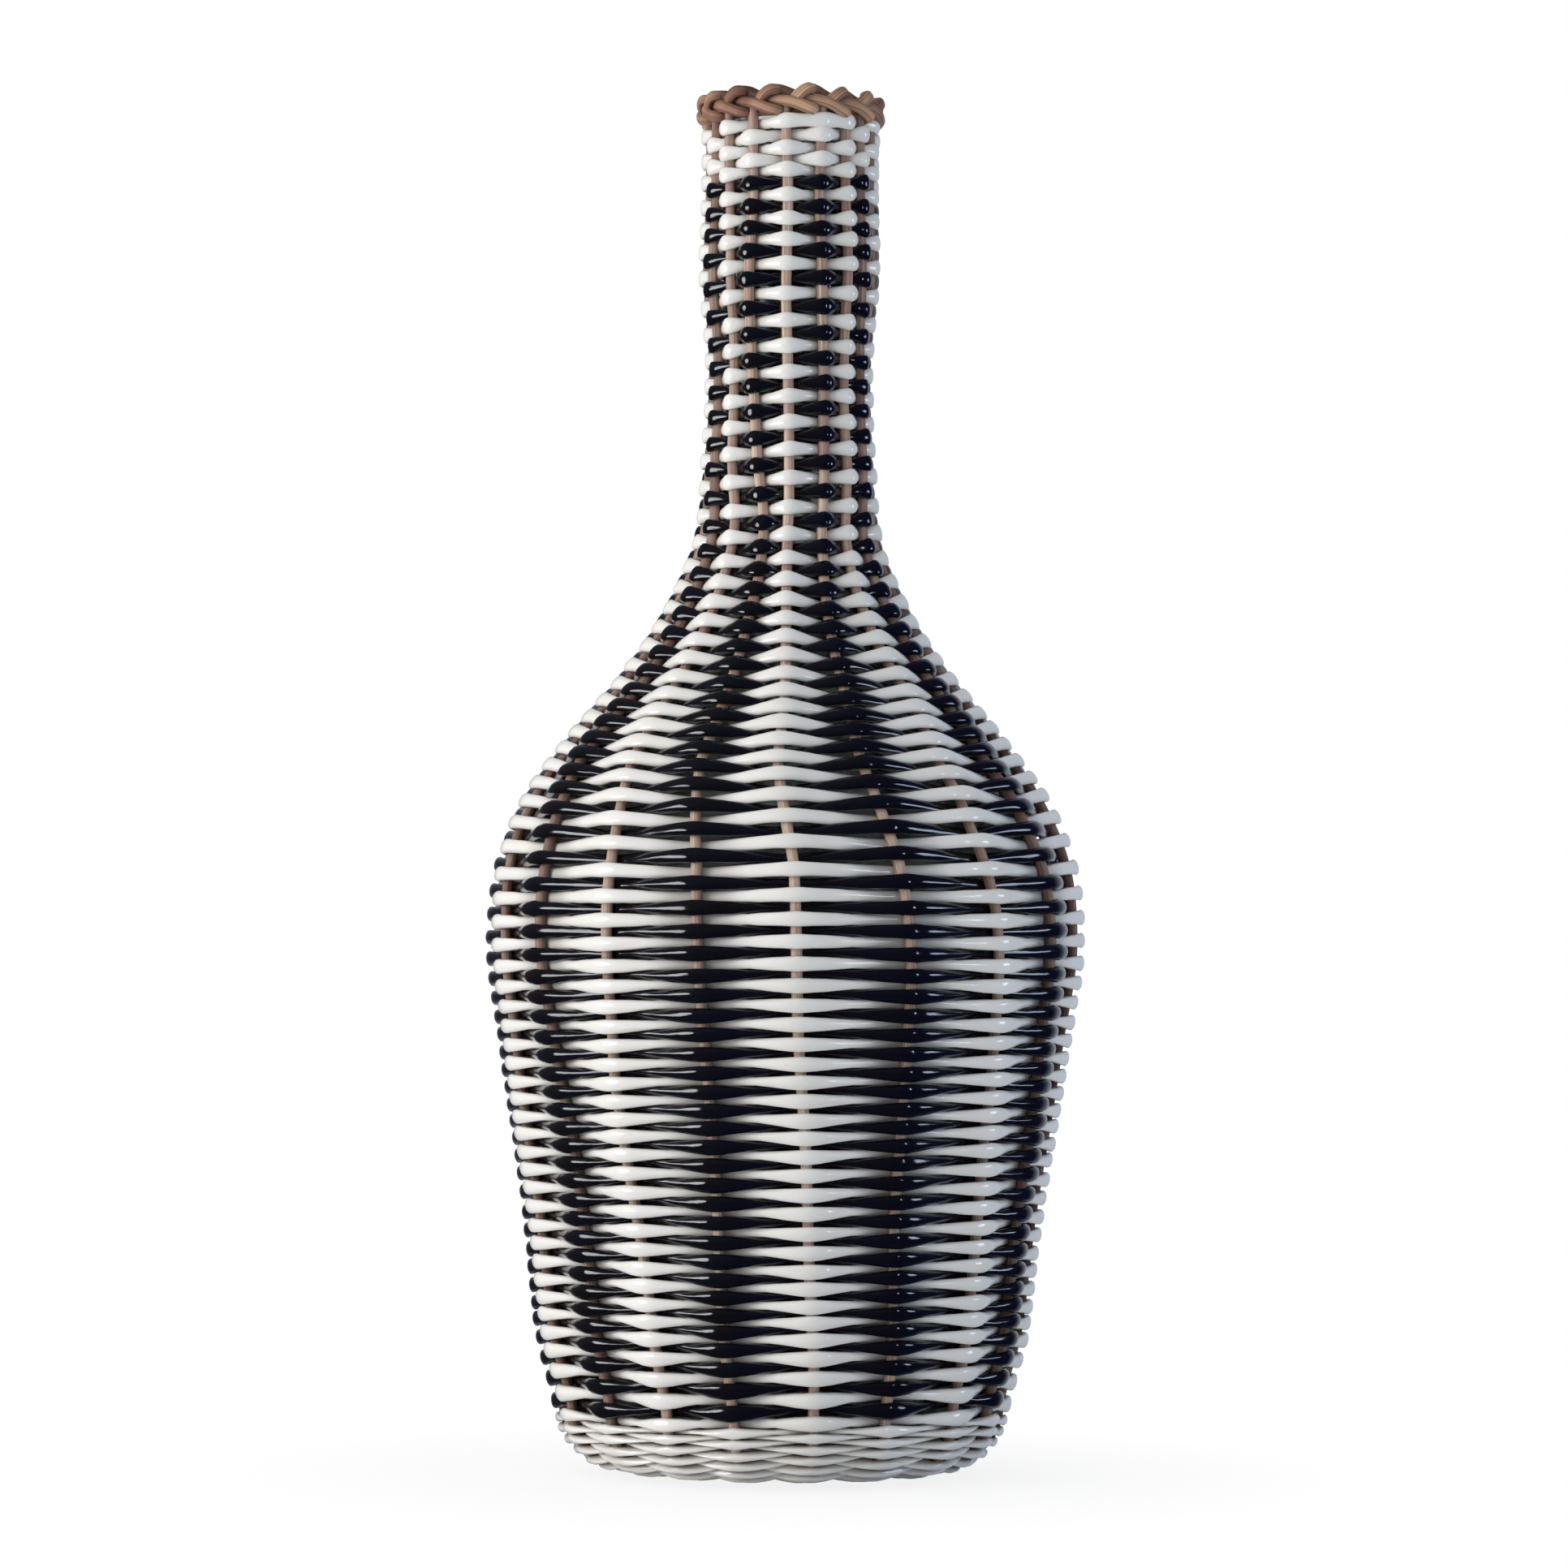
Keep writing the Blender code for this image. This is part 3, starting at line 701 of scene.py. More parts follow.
@dataclass
class SharedEffects:
    """Node groups that more than one finish uses, each built once."""

    # The part of soft noise that takes an effect from none to all
    grain_span: Span = (0.28, 0.72)
    drift_span: Span = (0.32, 0.68)
    smudge_span: Span = (0.35, 0.70)
    # Where the painted shade, with some dirt, goes from none to all: by how far a bar is tucked
    # away, and over its flank
    tucked_span: Span = (0.45, 1.0)
    flank_span: Span = (-0.80, 0.10)
    # Painted shade on the flanks grows near the floor: none at the first of these heights, and most
    # at the second
    flank_shade_heights: Span = (0.034, 0.024)
    # What is left of the painted shade and dirt between smudges
    least_shade_and_dirt: float = 0.6

    def __post_init__(self) -> None:
        """Build the groups."""
        self.lay = self._lay()
        self.grain = self._grain()
        self.mottle = self._mottle()
        self.shade_and_dirt_marks = self._shade_and_dirt_marks()

    @staticmethod
    def _group(name: str, inputs: dict[str, object],
               outputs: dict[str, str]) -> tuple[Wiring, Sockets, bpy.types.Node]:
        """An empty group with named sockets.

        Args:
            name: Name of the group.
            inputs: The default of each input, a number or a colour.
            outputs: The kind of each output: Float, Color or Vector.

        Returns:
            The group's wiring, its inputs to read and the node to feed with its outputs.
        """
        tree = bpy.data.node_groups.new(name, "ShaderNodeTree")
        for label, default in inputs.items():
            kind = "NodeSocketColor" if isinstance(default, tuple) else "NodeSocketFloat"
            socket = tree.interface.new_socket(label, in_out="INPUT", socket_type=kind)
            socket.default_value = default
        for label, kind in outputs.items():
            tree.interface.new_socket(label, in_out="OUTPUT", socket_type="NodeSocket" + kind)
        given, leave = tree.nodes.new("NodeGroupInput"), tree.nodes.new("NodeGroupOutput")
        return Wiring(tree), given.outputs, leave

    def _lay(self) -> bpy.types.NodeTree:
        """Places on a bar: along it, and round it with no seam.

        Returns:
            The group.
        """
        wiring, given, leave = self._group(
            "place_on_the_lay", {"Along": 1.0, "Round": 1.0}, {"Place": "Vector"})
        parts = wiring.split(wiring.node("UVMap", uv_map=LAY_MAP).outputs["UV"])
        turn = wiring.maths("MULTIPLY", parts["Y"], math.tau)
        place = wiring.node("CombineXYZ", {
            "X": wiring.maths("MULTIPLY", parts["X"], given["Along"]),
            "Y": wiring.maths("MULTIPLY", wiring.maths("SINE", turn), given["Round"]),
            "Z": wiring.maths("MULTIPLY", wiring.maths("COSINE", turn), given["Round"]),
        })
        wiring.feed(leave, {"Place": place.outputs["Vector"]})
        return wiring.tree

    def _grain(self) -> bpy.types.NodeTree:
        """Long fibres or drawing lines that run along a bar.

        Returns:
            The group.
        """
        wiring, given, leave = self._group(
            "long_grain", {"Along": 60.0, "Round": 3.0, "Detail": 3.0}, {"Grain": "Float"})
        lay = wiring.effect(self.lay, Along=given["Along"], Round=given["Round"])
        noise = wiring.noise(lay["Place"], 1.0, given["Detail"], roughness=0.55)
        wiring.feed(leave, {"Grain": wiring.ranged(noise, *self.grain_span)})
        return wiring.tree

    def _mottle(self) -> bpy.types.NodeTree:
        """Two colours that drift into each other in space.

        Returns:
            The group.
        """
        wiring, given, leave = self._group(
            "colour_drift", {"First": WHITE, "Second": (0.0, 0.0, 0.0, 1.0), "Scale": 40.0},
            {"Colour": "Color"})
        noise = wiring.noise(wiring.place(), given["Scale"], detail=2.0)
        share = wiring.ranged(noise, *self.drift_span)
        wiring.feed(leave, {"Colour": wiring.mix(share, given["First"], given["Second"])})
        return wiring.tree

    def _shade_and_dirt_marks(self) -> bpy.types.NodeTree:
        """Painted shade, with some dirt, where a bar is tucked away or meets the next, and smudges.

        Returns:
            The group.
        """
        wiring, given, leave = self._group(
            "painted_shade_and_dirt", {"Grime": 0.5, "Flanks": 0.2, "Smudge Scale": 90.0},
            {"Grime": "Float", "Smudge": "Float"})
        tucked = wiring.node("Attribute", attribute_name="tucked").outputs["Fac"]
        place = wiring.place()
        turned = wiring.split(wiring.effect(self.lay)["Place"])
        # Painted shade on the flanks, where a bar meets the next, strongest near the floor
        low_flank_shade = wiring.ranged(wiring.split(place)["Z"], *self.flank_shade_heights)
        flank = wiring.maths("MULTIPLY", wiring.ranged(turned["Z"], *self.flank_span),
                             wiring.maths("MAXIMUM", low_flank_shade, given["Flanks"]))
        noise = wiring.noise(place, given["Smudge Scale"], detail=3.0)
        smudge = wiring.ranged(noise, *self.smudge_span)
        # Painted shade, with some dirt, where a bar is tucked away
        hidden = wiring.ranged(tucked, *self.tucked_span)
        hidden = wiring.maths("MULTIPLY", hidden, given["Grime"])
        uneven = wiring.maths("MULTIPLY_ADD", smudge, 1 - self.least_shade_and_dirt, self.least_shade_and_dirt)
        shade_and_dirt = wiring.maths("MULTIPLY", wiring.maths("MAXIMUM", hidden, flank), uneven)
        wiring.feed(leave, {"Grime": shade_and_dirt, "Smudge": smudge})
        return wiring.tree


def new_material(name: str) -> tuple[bpy.types.Material, Wiring, bpy.types.Node]:
    """An empty Principled material.

    Args:
        name: Name of the material.

    Returns:
        The material, its wiring and its shader.
    """
    material = bpy.data.materials.new(name)
    material.use_nodes = True
    return material, Wiring(material.node_tree), material.node_tree.nodes["Principled BSDF"]


@dataclass(frozen=True)
class StrandFinish:
    """Glossy drawn plastic strand, with soft dents and faint lines from the drawing."""

    name: str
    colour: Colour
    drift: Colour
    # Colour and share of the painted shade, with some dirt, where the strand is tucked away
    shade_and_dirt: Colour
    shade_and_dirt_share: float
    # Roughness where it is least and where it is most smudged
    roughness: Span
    # Share of painted shade on the flanks
    flank_share: float = 0.22
    drift_scale: float = 55.0
    # Waves for each metre along the strand, and how fast they change round it
    dents: Span = (70.0, 0.55)
    dent_depth: float = 0.00020
    lines: Span = (30.0, 2.2)
    line_depth: float = 0.00003

    def build(self, effects: SharedEffects) -> bpy.types.Material:
        """Make the material.

        Args:
            effects: The shared effects.

        Returns:
            The material.
        """
        material, wiring, shader = new_material(self.name)
        drift = wiring.effect(
            effects.mottle, First=self.colour, Second=self.drift, Scale=self.drift_scale)
        marks = wiring.effect(
            effects.shade_and_dirt_marks, Grime=self.shade_and_dirt_share, Flanks=self.flank_share)
        dents = wiring.effect(
            effects.grain, Along=self.dents[0], Round=self.dents[1], Detail=1.0)
        lines = wiring.effect(effects.grain, Along=self.lines[0], Round=self.lines[1])
        bent = wiring.bump(dents["Grain"], self.dent_depth, strength=1.0)
        wiring.feed(shader, {
            # Painted shade, with some dirt, darkens the colour where tucked away and on the flanks
            "Base Color": wiring.mix(marks["Grime"], drift["Colour"], self.shade_and_dirt),
            "Roughness": wiring.ranged(marks["Smudge"], 0.0, 1.0, *self.roughness),
            "Normal": wiring.bump(lines["Grain"], self.line_depth, strength=0.6, Normal=bent),
            "IOR": 1.5, "Coat Weight": 0.25, "Coat Roughness": 0.04,
        })
        return material


@dataclass(frozen=True)
class RattanFinish:
    """Peeled rattan: long open fibres, matt, with painted shade and some dirt where it is hidden.
    """

    name: str
    light: Colour
    dark: Colour
    # Colour of the fibres, which the painted shade also turns to
    fibre_and_shade: Colour
    along: float
    round: float
    # Shares of painted shade, with some dirt, where the rattan is tucked away and on its flanks
    shade_and_dirt_share: float
    flank_share: float = 0.35
    drift_scale: float = 48.0
    # How much of the grain shows as fibre, and how strong its colour is there
    fibre_width: float = 0.75
    fibre_share: float = 0.75
    fibre_depth: float = 0.00012
    # Roughness on the fibres and between them
    roughness: Span = (0.62, 0.42)

    def build(self, effects: SharedEffects) -> bpy.types.Material:
        """Make the material.

        Args:
            effects: The shared effects.

        Returns:
            The material.
        """
        material, wiring, shader = new_material(self.name)
        drift = wiring.effect(
            effects.mottle, First=self.light, Second=self.dark, Scale=self.drift_scale)
        grain = wiring.effect(
            effects.grain, Along=self.along, Round=self.round, Detail=4.0)["Grain"]
        marks = wiring.effect(
            effects.shade_and_dirt_marks, Grime=self.shade_and_dirt_share, Flanks=self.flank_share)
        darker = wiring.ranged(grain, 0.0, self.fibre_width, self.fibre_share, 0.0)
        colour = wiring.mix(darker, drift["Colour"], self.fibre_and_shade)
        wiring.feed(shader, {
            # Painted shade, with some dirt, turns the colour towards that of the fibres where
            # tucked away and on the flanks
            "Base Color": wiring.mix(marks["Grime"], colour, self.fibre_and_shade),
            "Roughness": wiring.ranged(grain, 0.0, 1.0, *self.roughness),
            "Normal": wiring.bump(grain, self.fibre_depth, strength=0.8),
            "Specular IOR Level": 0.35,
        })
        return material


@dataclass(frozen=True)
class GlassFinish:
    """Clear bottle glass, a little green, with slow waves from the mould."""

    name: str = "clear_bottle_glass"
    colour: Colour = (0.48, 0.52, 0.50, 1.0)
    wave_scale: float = 45.0
    wave_span: Span = (0.3, 0.7)
    wave_depth: float = 0.00015
    roughness: Span = (0.08, 0.22)

    def build(self) -> bpy.types.Material:
        """Make the material.

        Returns:
            The material.
        """
        material, wiring, shader = new_material(self.name)
        waves = wiring.noise(wiring.place(), self.wave_scale, detail=1.0)
        wiring.feed(shader, {
            "Base Color": self.colour, "Transmission Weight": 1.0, "IOR": 1.5,
            "Roughness": wiring.ranged(waves, *self.wave_span, *self.roughness),
            "Normal": wiring.bump(waves, self.wave_depth, strength=0.5),
        })
        return material


# Sub-assemblies


@dataclass
class GlassBottle:
    """The bottle inside the cover, hollow, with a rounded lip."""

    wall: CoverWall
    thickness: float = 0.0030
    floor: float = 0.0045
    lip_height: float = 0.0045
    lip_bulge: float = 0.0008
    lip_round: float = 0.0008
    sides: int = 96
    round_steps: int = 5

    def outline(self) -> np.ndarray:
        """The line that makes the bottle when it turns about the axis.

        Returns:
            Radius and height of its points, from below, round the lip, to the floor inside.
        """
        top_radius, top_height = self.wall.top
        bore, lip = top_radius - self.thickness, top_radius + self.lip_bulge
        crown = top_height + self.lip_height - self.lip_round
        lip_line = [(lip, top_height + self.lip_round)]
        for radius, first in ((lip - self.lip_round, 0.0), (bore + self.lip_round, math.pi / 2)):
            for step in range(self.round_steps + 1):
                turn = first + math.pi / 2 * step / self.round_steps
                lip_line.append((radius + self.lip_round * math.cos(turn),
                                 crown + self.lip_round * math.sin(turn)))
        floor = self.wall.foot_height + self.floor
        inner = (self.wall.glass - self.wall.normals * self.thickness)[::-1]
        inner = inner[inner[:, 1] > floor + self.thickness]
        bottom = [(self.wall.foot_radius, floor), (0.0, floor)]
        under = [(0.0, self.wall.foot_height)]
        return np.vstack((under, self.wall.glass, lip_line, inner, bottom))

    def build(self, finish: GlassFinish) -> None:
        """Turn the outline about the axis and dress it.

        Args:
            finish: The glass.
        """
        outline = self.outline()
        angles = math.tau * np.arange(self.sides) / self.sides
        rings = around_axis(outline[1:-1, None, 0], outline[1:-1, None, 1], angles[None])
        tips = ((0, 0, outline[0, 1]), (0, 0, outline[-1, 1]))
        quads, fans, _, _ = tube_faces(len(rings), self.sides)
        mesh = mesh_of("glass_vessel", np.vstack((rings.reshape(-1, 3), tips)), quads, fans)
        dress(link_object("glass_vessel", mesh), finish.build(), Slot.GLASS, "glass_bottle")


@dataclass
class Stakes:
    """Rattan stakes that cross under the bottle and stand up its wall to the rim.

    Under the bottle they lie side by side in four groups, front, right, back and left, and
    the front and back groups pass below the other two.
    """

    wall: CoverWall
    half_size: float = 0.00136
    neck_half_size: float = 0.00126
    step: float = 0.0016
    into_rim: float = 0.0030
    group_sizes: tuple[int, ...] = (4, 5, 4, 5)
    first_of_front: int = -2
    hub_spacing: float = 0.0028
    hub_level: float = 0.0011
    hub_reach: float = 0.0095
    hub_leave: float = 0.0185
    hub_steps: int = 14
    sides: int = 12
    uneven: float = 0.025
    uneven_waves: float = 160.0
    least_tucked: float = 0.45
    # How dark each stake is made, counted from the front one towards +X: painted shade on numbers 3
    # to 5, which stand in shadow, and otherwise a tone that differs from stake to stake
    ages: tuple[float, ...] = (0.05, 0.20, 0.50, 0.85, 1.00, 0.95, 0.55, 0.35, 0.60,
                               0.40, 0.25, 0.55, 0.45, 0.65, 0.90, 0.85, 0.35, 0.05)

    def hub_line(self, number: int) -> np.ndarray:
        """Points of a stake from the middle of the hub to where it fans out.

        Args:
            number: Number of the stake, counted from the front one towards +X.

        Returns:
            The points, one row each.
        """
        seat = (number - self.first_of_front) % self.wall.stake_count
        group = 0
        while seat >= self.group_sizes[group]:
            seat -= self.group_sizes[group]
            group += 1
        beside = (seat - (self.group_sizes[group] - 1) / 2) * self.hub_spacing
        turn = math.tau * group / len(self.group_sizes)
        radius, height = (self.wall.line[:, axis] for axis in (0, 1))
        edge = int(np.argmax(radius > self.hub_leave))
        reach = np.linspace(0.0, self.hub_leave, self.hub_steps, endpoint=False)
        own = self.wall.stake_angle(self.wall.lengths[edge], number)
        share = np.clip((reach - self.hub_reach) / (self.hub_leave - self.hub_reach), 0.0, 1.0)
        share = eased(share)
        level = height[edge] + (1 if group % 2 else -1) * self.hub_level * (1 - share)
        ahead = around_axis(reach, level, turn)
        aside = around_axis(beside, 0.0, turn + math.pi / 2)
        return blend(ahead + aside, around_axis(reach, level, own), share[:, None])

    def centre_line(self, number: int) -> tuple[np.ndarray, np.ndarray]:
        """A stake from the hub under the bottle to the rim.

        Args:
            number: Number of the stake, counted from the front one towards +X.

        Returns:
            Places along the stake line, and points in space.
        """
        wall = self.wall
        start = float(wall.lengths[int(np.argmax(wall.line[:, 0] > self.hub_leave))])
        stop = wall.length + self.into_rim
        along = np.linspace(start, stop, int((stop - start) / self.step))
        angle = wall.stake_angle(np.clip(along, None, wall.length), number)
        under = self.hub_line(number)
        points = np.vstack((under, wall.place(along, 0.0, angle)))
        return np.concatenate((np.full(len(under), start), along)), points

    def build(self, finish: RattanFinish, effects: SharedEffects) -> None:
        """Make and dress every stake.

        Args:
            finish: The stakes' rattan.
            effects: The shared effects.
        """
        material = finish.build(effects)
        rng = np.random.default_rng(SEED)
        for number in range(self.wall.stake_count):
            along, points = self.centre_line(number)
            ups, outs = section_axes(points, self.wall.outward(along, angle_round(points)))
            share = np.clip(along / self.wall.length, 0.0, 1.0)
            wave = np.sin(along * self.uneven_waves + rng.uniform(0, math.tau))
            half = blend(self.half_size, self.neck_half_size, share) * (1 + self.uneven * wave)
            # Painted shade, with a tone that differs by stake, sets how dark the stake is made
            tucked = blend(self.least_tucked, 1.0, self.ages[number])
            bar = Sweep(points, ups, outs, half, half, tucked, self.sides, squareness=2.0, rows=2)
            dress(bar.build(f"rattan_stake_{number + 1:02d}"), material, Slot.STAKE,
                  f"stake_{number + 1:02d}")


@dataclass
class HubBinding:
    """Two strands that bind the crossed stakes, group by group, in the middle of the base."""

    wall: CoverWall
    start_radius: float = 0.0108
    pitch: float = 0.0030
    turns: float = 2.5
    reach: float = 0.0021
    half_height: float = 0.0012
    half_depth: float = 0.0007
    steps: int = 72
    sides: int = 10

    def strand(self, number: int) -> Sweep:
        """One of the two strands, which pass outside different groups.

        Args:
            number: Number of the strand, 0 or 1.

        Returns:
            The bar, ready to build.
        """
        turn = np.linspace(0.0, math.tau * self.turns, int(self.steps * self.turns))
        angle = turn + math.pi * number
        radius = self.start_radius + self.pitch * turn / math.tau
        foot = self.wall.foot_height - self.wall.stake_outs[0][1]
        swing = (1 - 2 * number) * np.cos(2 * turn)
        centres = around_axis(radius, foot - self.reach * flattened(swing), angle)
        ups, outs = section_axes(centres, -UPWARDS)
        return Sweep(centres, ups, outs, self.half_height, self.half_depth, 0.5 - 0.5 * swing,
                     self.sides, squareness=2.1, rows=2)

    def build(self, finish: StrandFinish, effects: SharedEffects) -> None:
        """Make and dress both strands.

        Args:
            finish: Their plastic.
            effects: The shared effects.
        """
        material = finish.build(effects)
        for number in (0, 1):
            piece = self.strand(number).build(f"hub_binding_{number + 1}")
            dress(piece, material, Slot.BASE, "woven_base")


@dataclass(frozen=True)
class StrandShape:
    """Form of a strand at one place of the cover.

    Attributes:
        share: Share of the way up the cover.
        reach: How far its middle lies from the stake line at a crossing.
        tall: Height where it is outside.
        slim: Height where it is behind.
        hump: Extra height right over a stake.
        flat_depth: Depth at a crossing, where it is pressed flat.
        edge_depth: Depth between stakes, where it turns from one side to the other.
        fill_between: Largest height between stakes, as a share of the pitch.
        fill_at_stake: Largest height at a stake, as a share of the pitch.
    """

    share: float
    reach: float
    tall: float
    slim: float
    hump: float
    flat_depth: float
    edge_depth: float
    fill_between: float
    fill_at_stake: float


# The band at the base is beaten down tight, and the strand is drawn flatter on the neck
STRAND_SHAPES = (
    StrandShape(0.000, 0.00170, 0.00290, 0.00200, 0.00040, 0.0018, 0.0034, 0.34, 0.97),
    StrandShape(0.036, 0.00170, 0.00290, 0.00200, 0.00040, 0.0018, 0.0034, 0.34, 0.97),
    StrandShape(0.046, 0.00220, 0.00375, 0.00290, 0.00050, 0.0020, 0.0026, 0.46, 0.94),
    StrandShape(0.110, 0.00220, 0.00330, 0.00290, 0.00045, 0.0020, 0.0026, 0.46, 0.94),
    StrandShape(0.400, 0.00220, 0.00330, 0.00290, 0.00045, 0.0020, 0.0026, 0.48, 0.94),
    StrandShape(0.450, 0.00220, 0.00335, 0.00320, 0.00045, 0.0020, 0.0026, 0.54, 0.96),
    StrandShape(0.540, 0.00205, 0.00340, 0.00330, 0.00080, 0.0019, 0.0026, 0.58, 1.04),
    StrandShape(0.640, 0.00190, 0.00335, 0.00290, 0.00095, 0.0018, 0.0025, 0.52, 1.02),
    StrandShape(0.750, 0.00170, 0.00320, 0.00260, 0.00080, 0.0015, 0.0024, 0.45, 0.92),
)


@dataclass
class StrandRun:
    """One strand from its start under the bottle to its end below the rim."""

    wall: CoverWall
    first_stake: int
    covered: int
    seed: int
    shapes: tuple[StrandShape, ...] = STRAND_SHAPES
    hump_spread: float = 0.0029
    # How soon it tapers away from a crossing, grows to its full height outside, and grows to
    # its full depth between stakes
    taper_power: float = 1.2
    tall_power: float = 0.8
    edge_power: float = 0.7
    # The strand bends over this share of the way to the next stake
    bend_share: float = 0.42
    per_gap: int = 12
    sides: int = 12
    under_pitch: float = 0.0034
    start_radius: float = 0.0190
    # How much single crossings stray up and down, in and out, and in size
    stray_along: float = 0.00010
    stray_out: float = 0.00005
    stray_size: float = 0.025
    # Behind this stake, the last turn lies outside
    long_float_stake: int | None = None
    places: np.ndarray = field(init=False)
    below: int = field(init=False)

    def __post_init__(self) -> None:
        """Step the crossings up the wall, and down to the start under the bottle."""
        wall = self.wall
        up = [wall.first_row_place]
        top = wall.length - (self.shapes[-1].tall + self.shapes[-1].hump) / 2
        while up[-1] < top:
            up.append(up[-1] + float(wall.pitch(up[-1])) / wall.stake_count)
        up = up[:len(up) - (len(up) + 1) % 2]
        down = []
        place = wall.first_row_place
        while wall.flat_point(place, 0.0)[0] > self.start_radius:
            place -= self.under_pitch / wall.stake_count
            down.append(place)
        # The start lies behind a stake too
        down = down[:len(down) - (self.first_stake - len(down) + self.covered + 1) % 2]
        self.below = len(down)
        places = np.array(down[::-1] + up)
        self.places = places + wall.row_drift(places)

    @property
    def last(self) -> int:
        """Number of the last crossing, counted from the foot of the standing stakes."""
        return len(self.places) - self.below - 1

    def shape(self, measure: str, along: np.ndarray) -> np.ndarray:
        """One measure of the strand's shape at places along the wall.

        Args:
            measure: Name of the measure.
            along: The places.

        Returns:
            The measure at each place.
        """
        shares = [row.share for row in self.shapes]
        values = [getattr(row, measure) for row in self.shapes]
        return np.interp(np.asarray(along) / self.wall.length, shares, values)

    def crossings(self) -> tuple[np.ndarray, ...]:
        """Every crossing of the strand.

        Returns:
            Places, sides (1 outside and 0 behind) and corner points.
        """
        rng = np.random.default_rng(self.seed)
        numbers = np.arange(-self.below, self.last + 1)
        stakes = self.first_stake + numbers
        side = np.where(stakes % 2 == self.covered, Side.OUTSIDE.value, Side.BEHIND.value)
        if self.long_float_stake is not None:
            near_top = numbers > self.last - self.wall.stake_count
            hidden = stakes % self.wall.stake_count == self.long_float_stake
            side[near_top & hidden] = Side.OUTSIDE.value
        angle = self.wall.stake_angle(self.places, stakes)
        along = self.places + self.wall.row_shift(self.places, angle)
        along = along + rng.normal(0.0, self.stray_along, len(along))
        out = (2 * side - 1) * self.shape("reach", self.places)
        out = out + rng.normal(0.0, self.stray_out, len(along))
        wanted = self.wall.place(along, out, angle)
        corners = wanted.copy()
        # Smoothing cuts a corner by an eighth of its bend, so it is first moved out as far
        for _ in range(3):
            chords = np.diff(corners, axis=0)
            turn = np.diff(unit(chords), axis=0)
            bend = self.bend_share * np.linalg.norm(chords, axis=1)
            corners[1:-1] = wanted[1:-1] - turn * (bend[:-1] + bend[1:])[:, None] / 2 / 8
        return along, side, corners

    def sweep(self, start: int, stop: int) -> Sweep:
        """The strand from one crossing to another.

        Args:
            start: Number of the first crossing, counted from the foot of the stakes.
            stop: Number of the last crossing.

        Returns:
            The bar, ready to build.
        """
        along, side, corners = self.crossings()
        rng = np.random.default_rng(self.seed + 1)
        size = 1 + rng.normal(0.0, self.stray_size, len(along))
        chords = np.linalg.norm(np.diff(corners, axis=0), axis=1)
        starts = distances(corners)
        halves = (corners[:-1] + corners[1:]) / 2 * chords[:, None]
        sums = np.vstack((np.zeros(3), np.cumsum(halves, axis=0)))

        def travelled(length: np.ndarray) -> np.ndarray:
            """Sum of the path's points up to a length.

            Args:
                length: Lengths along the path.

            Returns:
                The sums, one row each.
            """
            span = np.clip(np.searchsorted(starts, length, side="right") - 1, 0, len(chords) - 1)
            x = (length - starts[span])[:, None]
            step = (corners[span + 1] - corners[span]) / chords[span][:, None]
            return sums[span] + corners[span] * x + step * x**2 / 2

        first, final = start + self.below, stop + self.below
        even = np.arange(self.per_gap) / self.per_gap
        shares = (1 - np.cos(math.pi * even)) / 2
        gap = np.repeat(np.arange(first, final), self.per_gap)
        share = np.tile(shares, final - first)
        gap, share = np.append(gap, final - 1), np.append(share, 1.0)
        length = starts[gap] + share * chords[gap]
        middle = (starts[:-1] + starts[1:]) / 2
        bend = self.bend_share * np.interp(length, middle, chords)
        low = np.clip(length - bend / 2, 0.0, starts[-1])
        high = np.clip(length + bend / 2, 0.0, starts[-1])
        centres = (travelled(high) - travelled(low)) / (high - low)[:, None]
        here = blend(along[gap], along[gap + 1], share)
        ups, outs = section_axes(centres, self.wall.outward(here, angle_round(centres)))
        half_up, half_out, tucked = self._section(gap, share, side, chords, here, size)
        return Sweep(centres, ups, outs, half_up, half_out, tucked, self.sides,
                     squareness=2.1, rows=40)

    def _section(self, gap: np.ndarray, share: np.ndarray, side: np.ndarray, chords: np.ndarray,
                 here: np.ndarray, size: np.ndarray) -> tuple[np.ndarray, ...]:
        """Half height, half depth and how far it is tucked away, for every ring.

        Args:
            gap: Number of the crossing before each ring.
            share: Share of the way from there to the next one.
            side: Side at each crossing, 1 outside and 0 behind.
            chords: Distance from each crossing to the next.
            here: Place of each ring along the wall.
            size: Size of the strand at each crossing, near 1.

        Returns:
            The three, one number for each ring.
        """
        outside = blend(side[gap], side[gap + 1], eased(share))
        reach = chords[gap]
        near = np.maximum(
            side[gap] * np.exp(-((share * reach / self.hump_spread) ** 2)),
            side[gap + 1] * np.exp(-(((1 - share) * reach / self.hump_spread) ** 2)),
        )
        open_share = blend(side[gap], side[gap + 1], share)
        height = blend(self.shape("slim", here), self.shape("tall", here),
                       open_share**self.tall_power)
        height = height + self.shape("hump", here) * near
        fill = blend(self.shape("fill_between", here), self.shape("fill_at_stake", here),
                     np.abs(2 * open_share - 1) ** self.taper_power)
        pitch = np.where(here < 0.0, self.under_pitch, self.wall.pitch(here))
        height = np.minimum(height, pitch * fill) * blend(size[gap], size[gap + 1], share)
        middle = (4 * outside * (1 - outside)) ** self.edge_power
        depth = blend(self.shape("flat_depth", here), self.shape("edge_depth", here), middle)
        return height / 2, depth / 2, 1 - outside


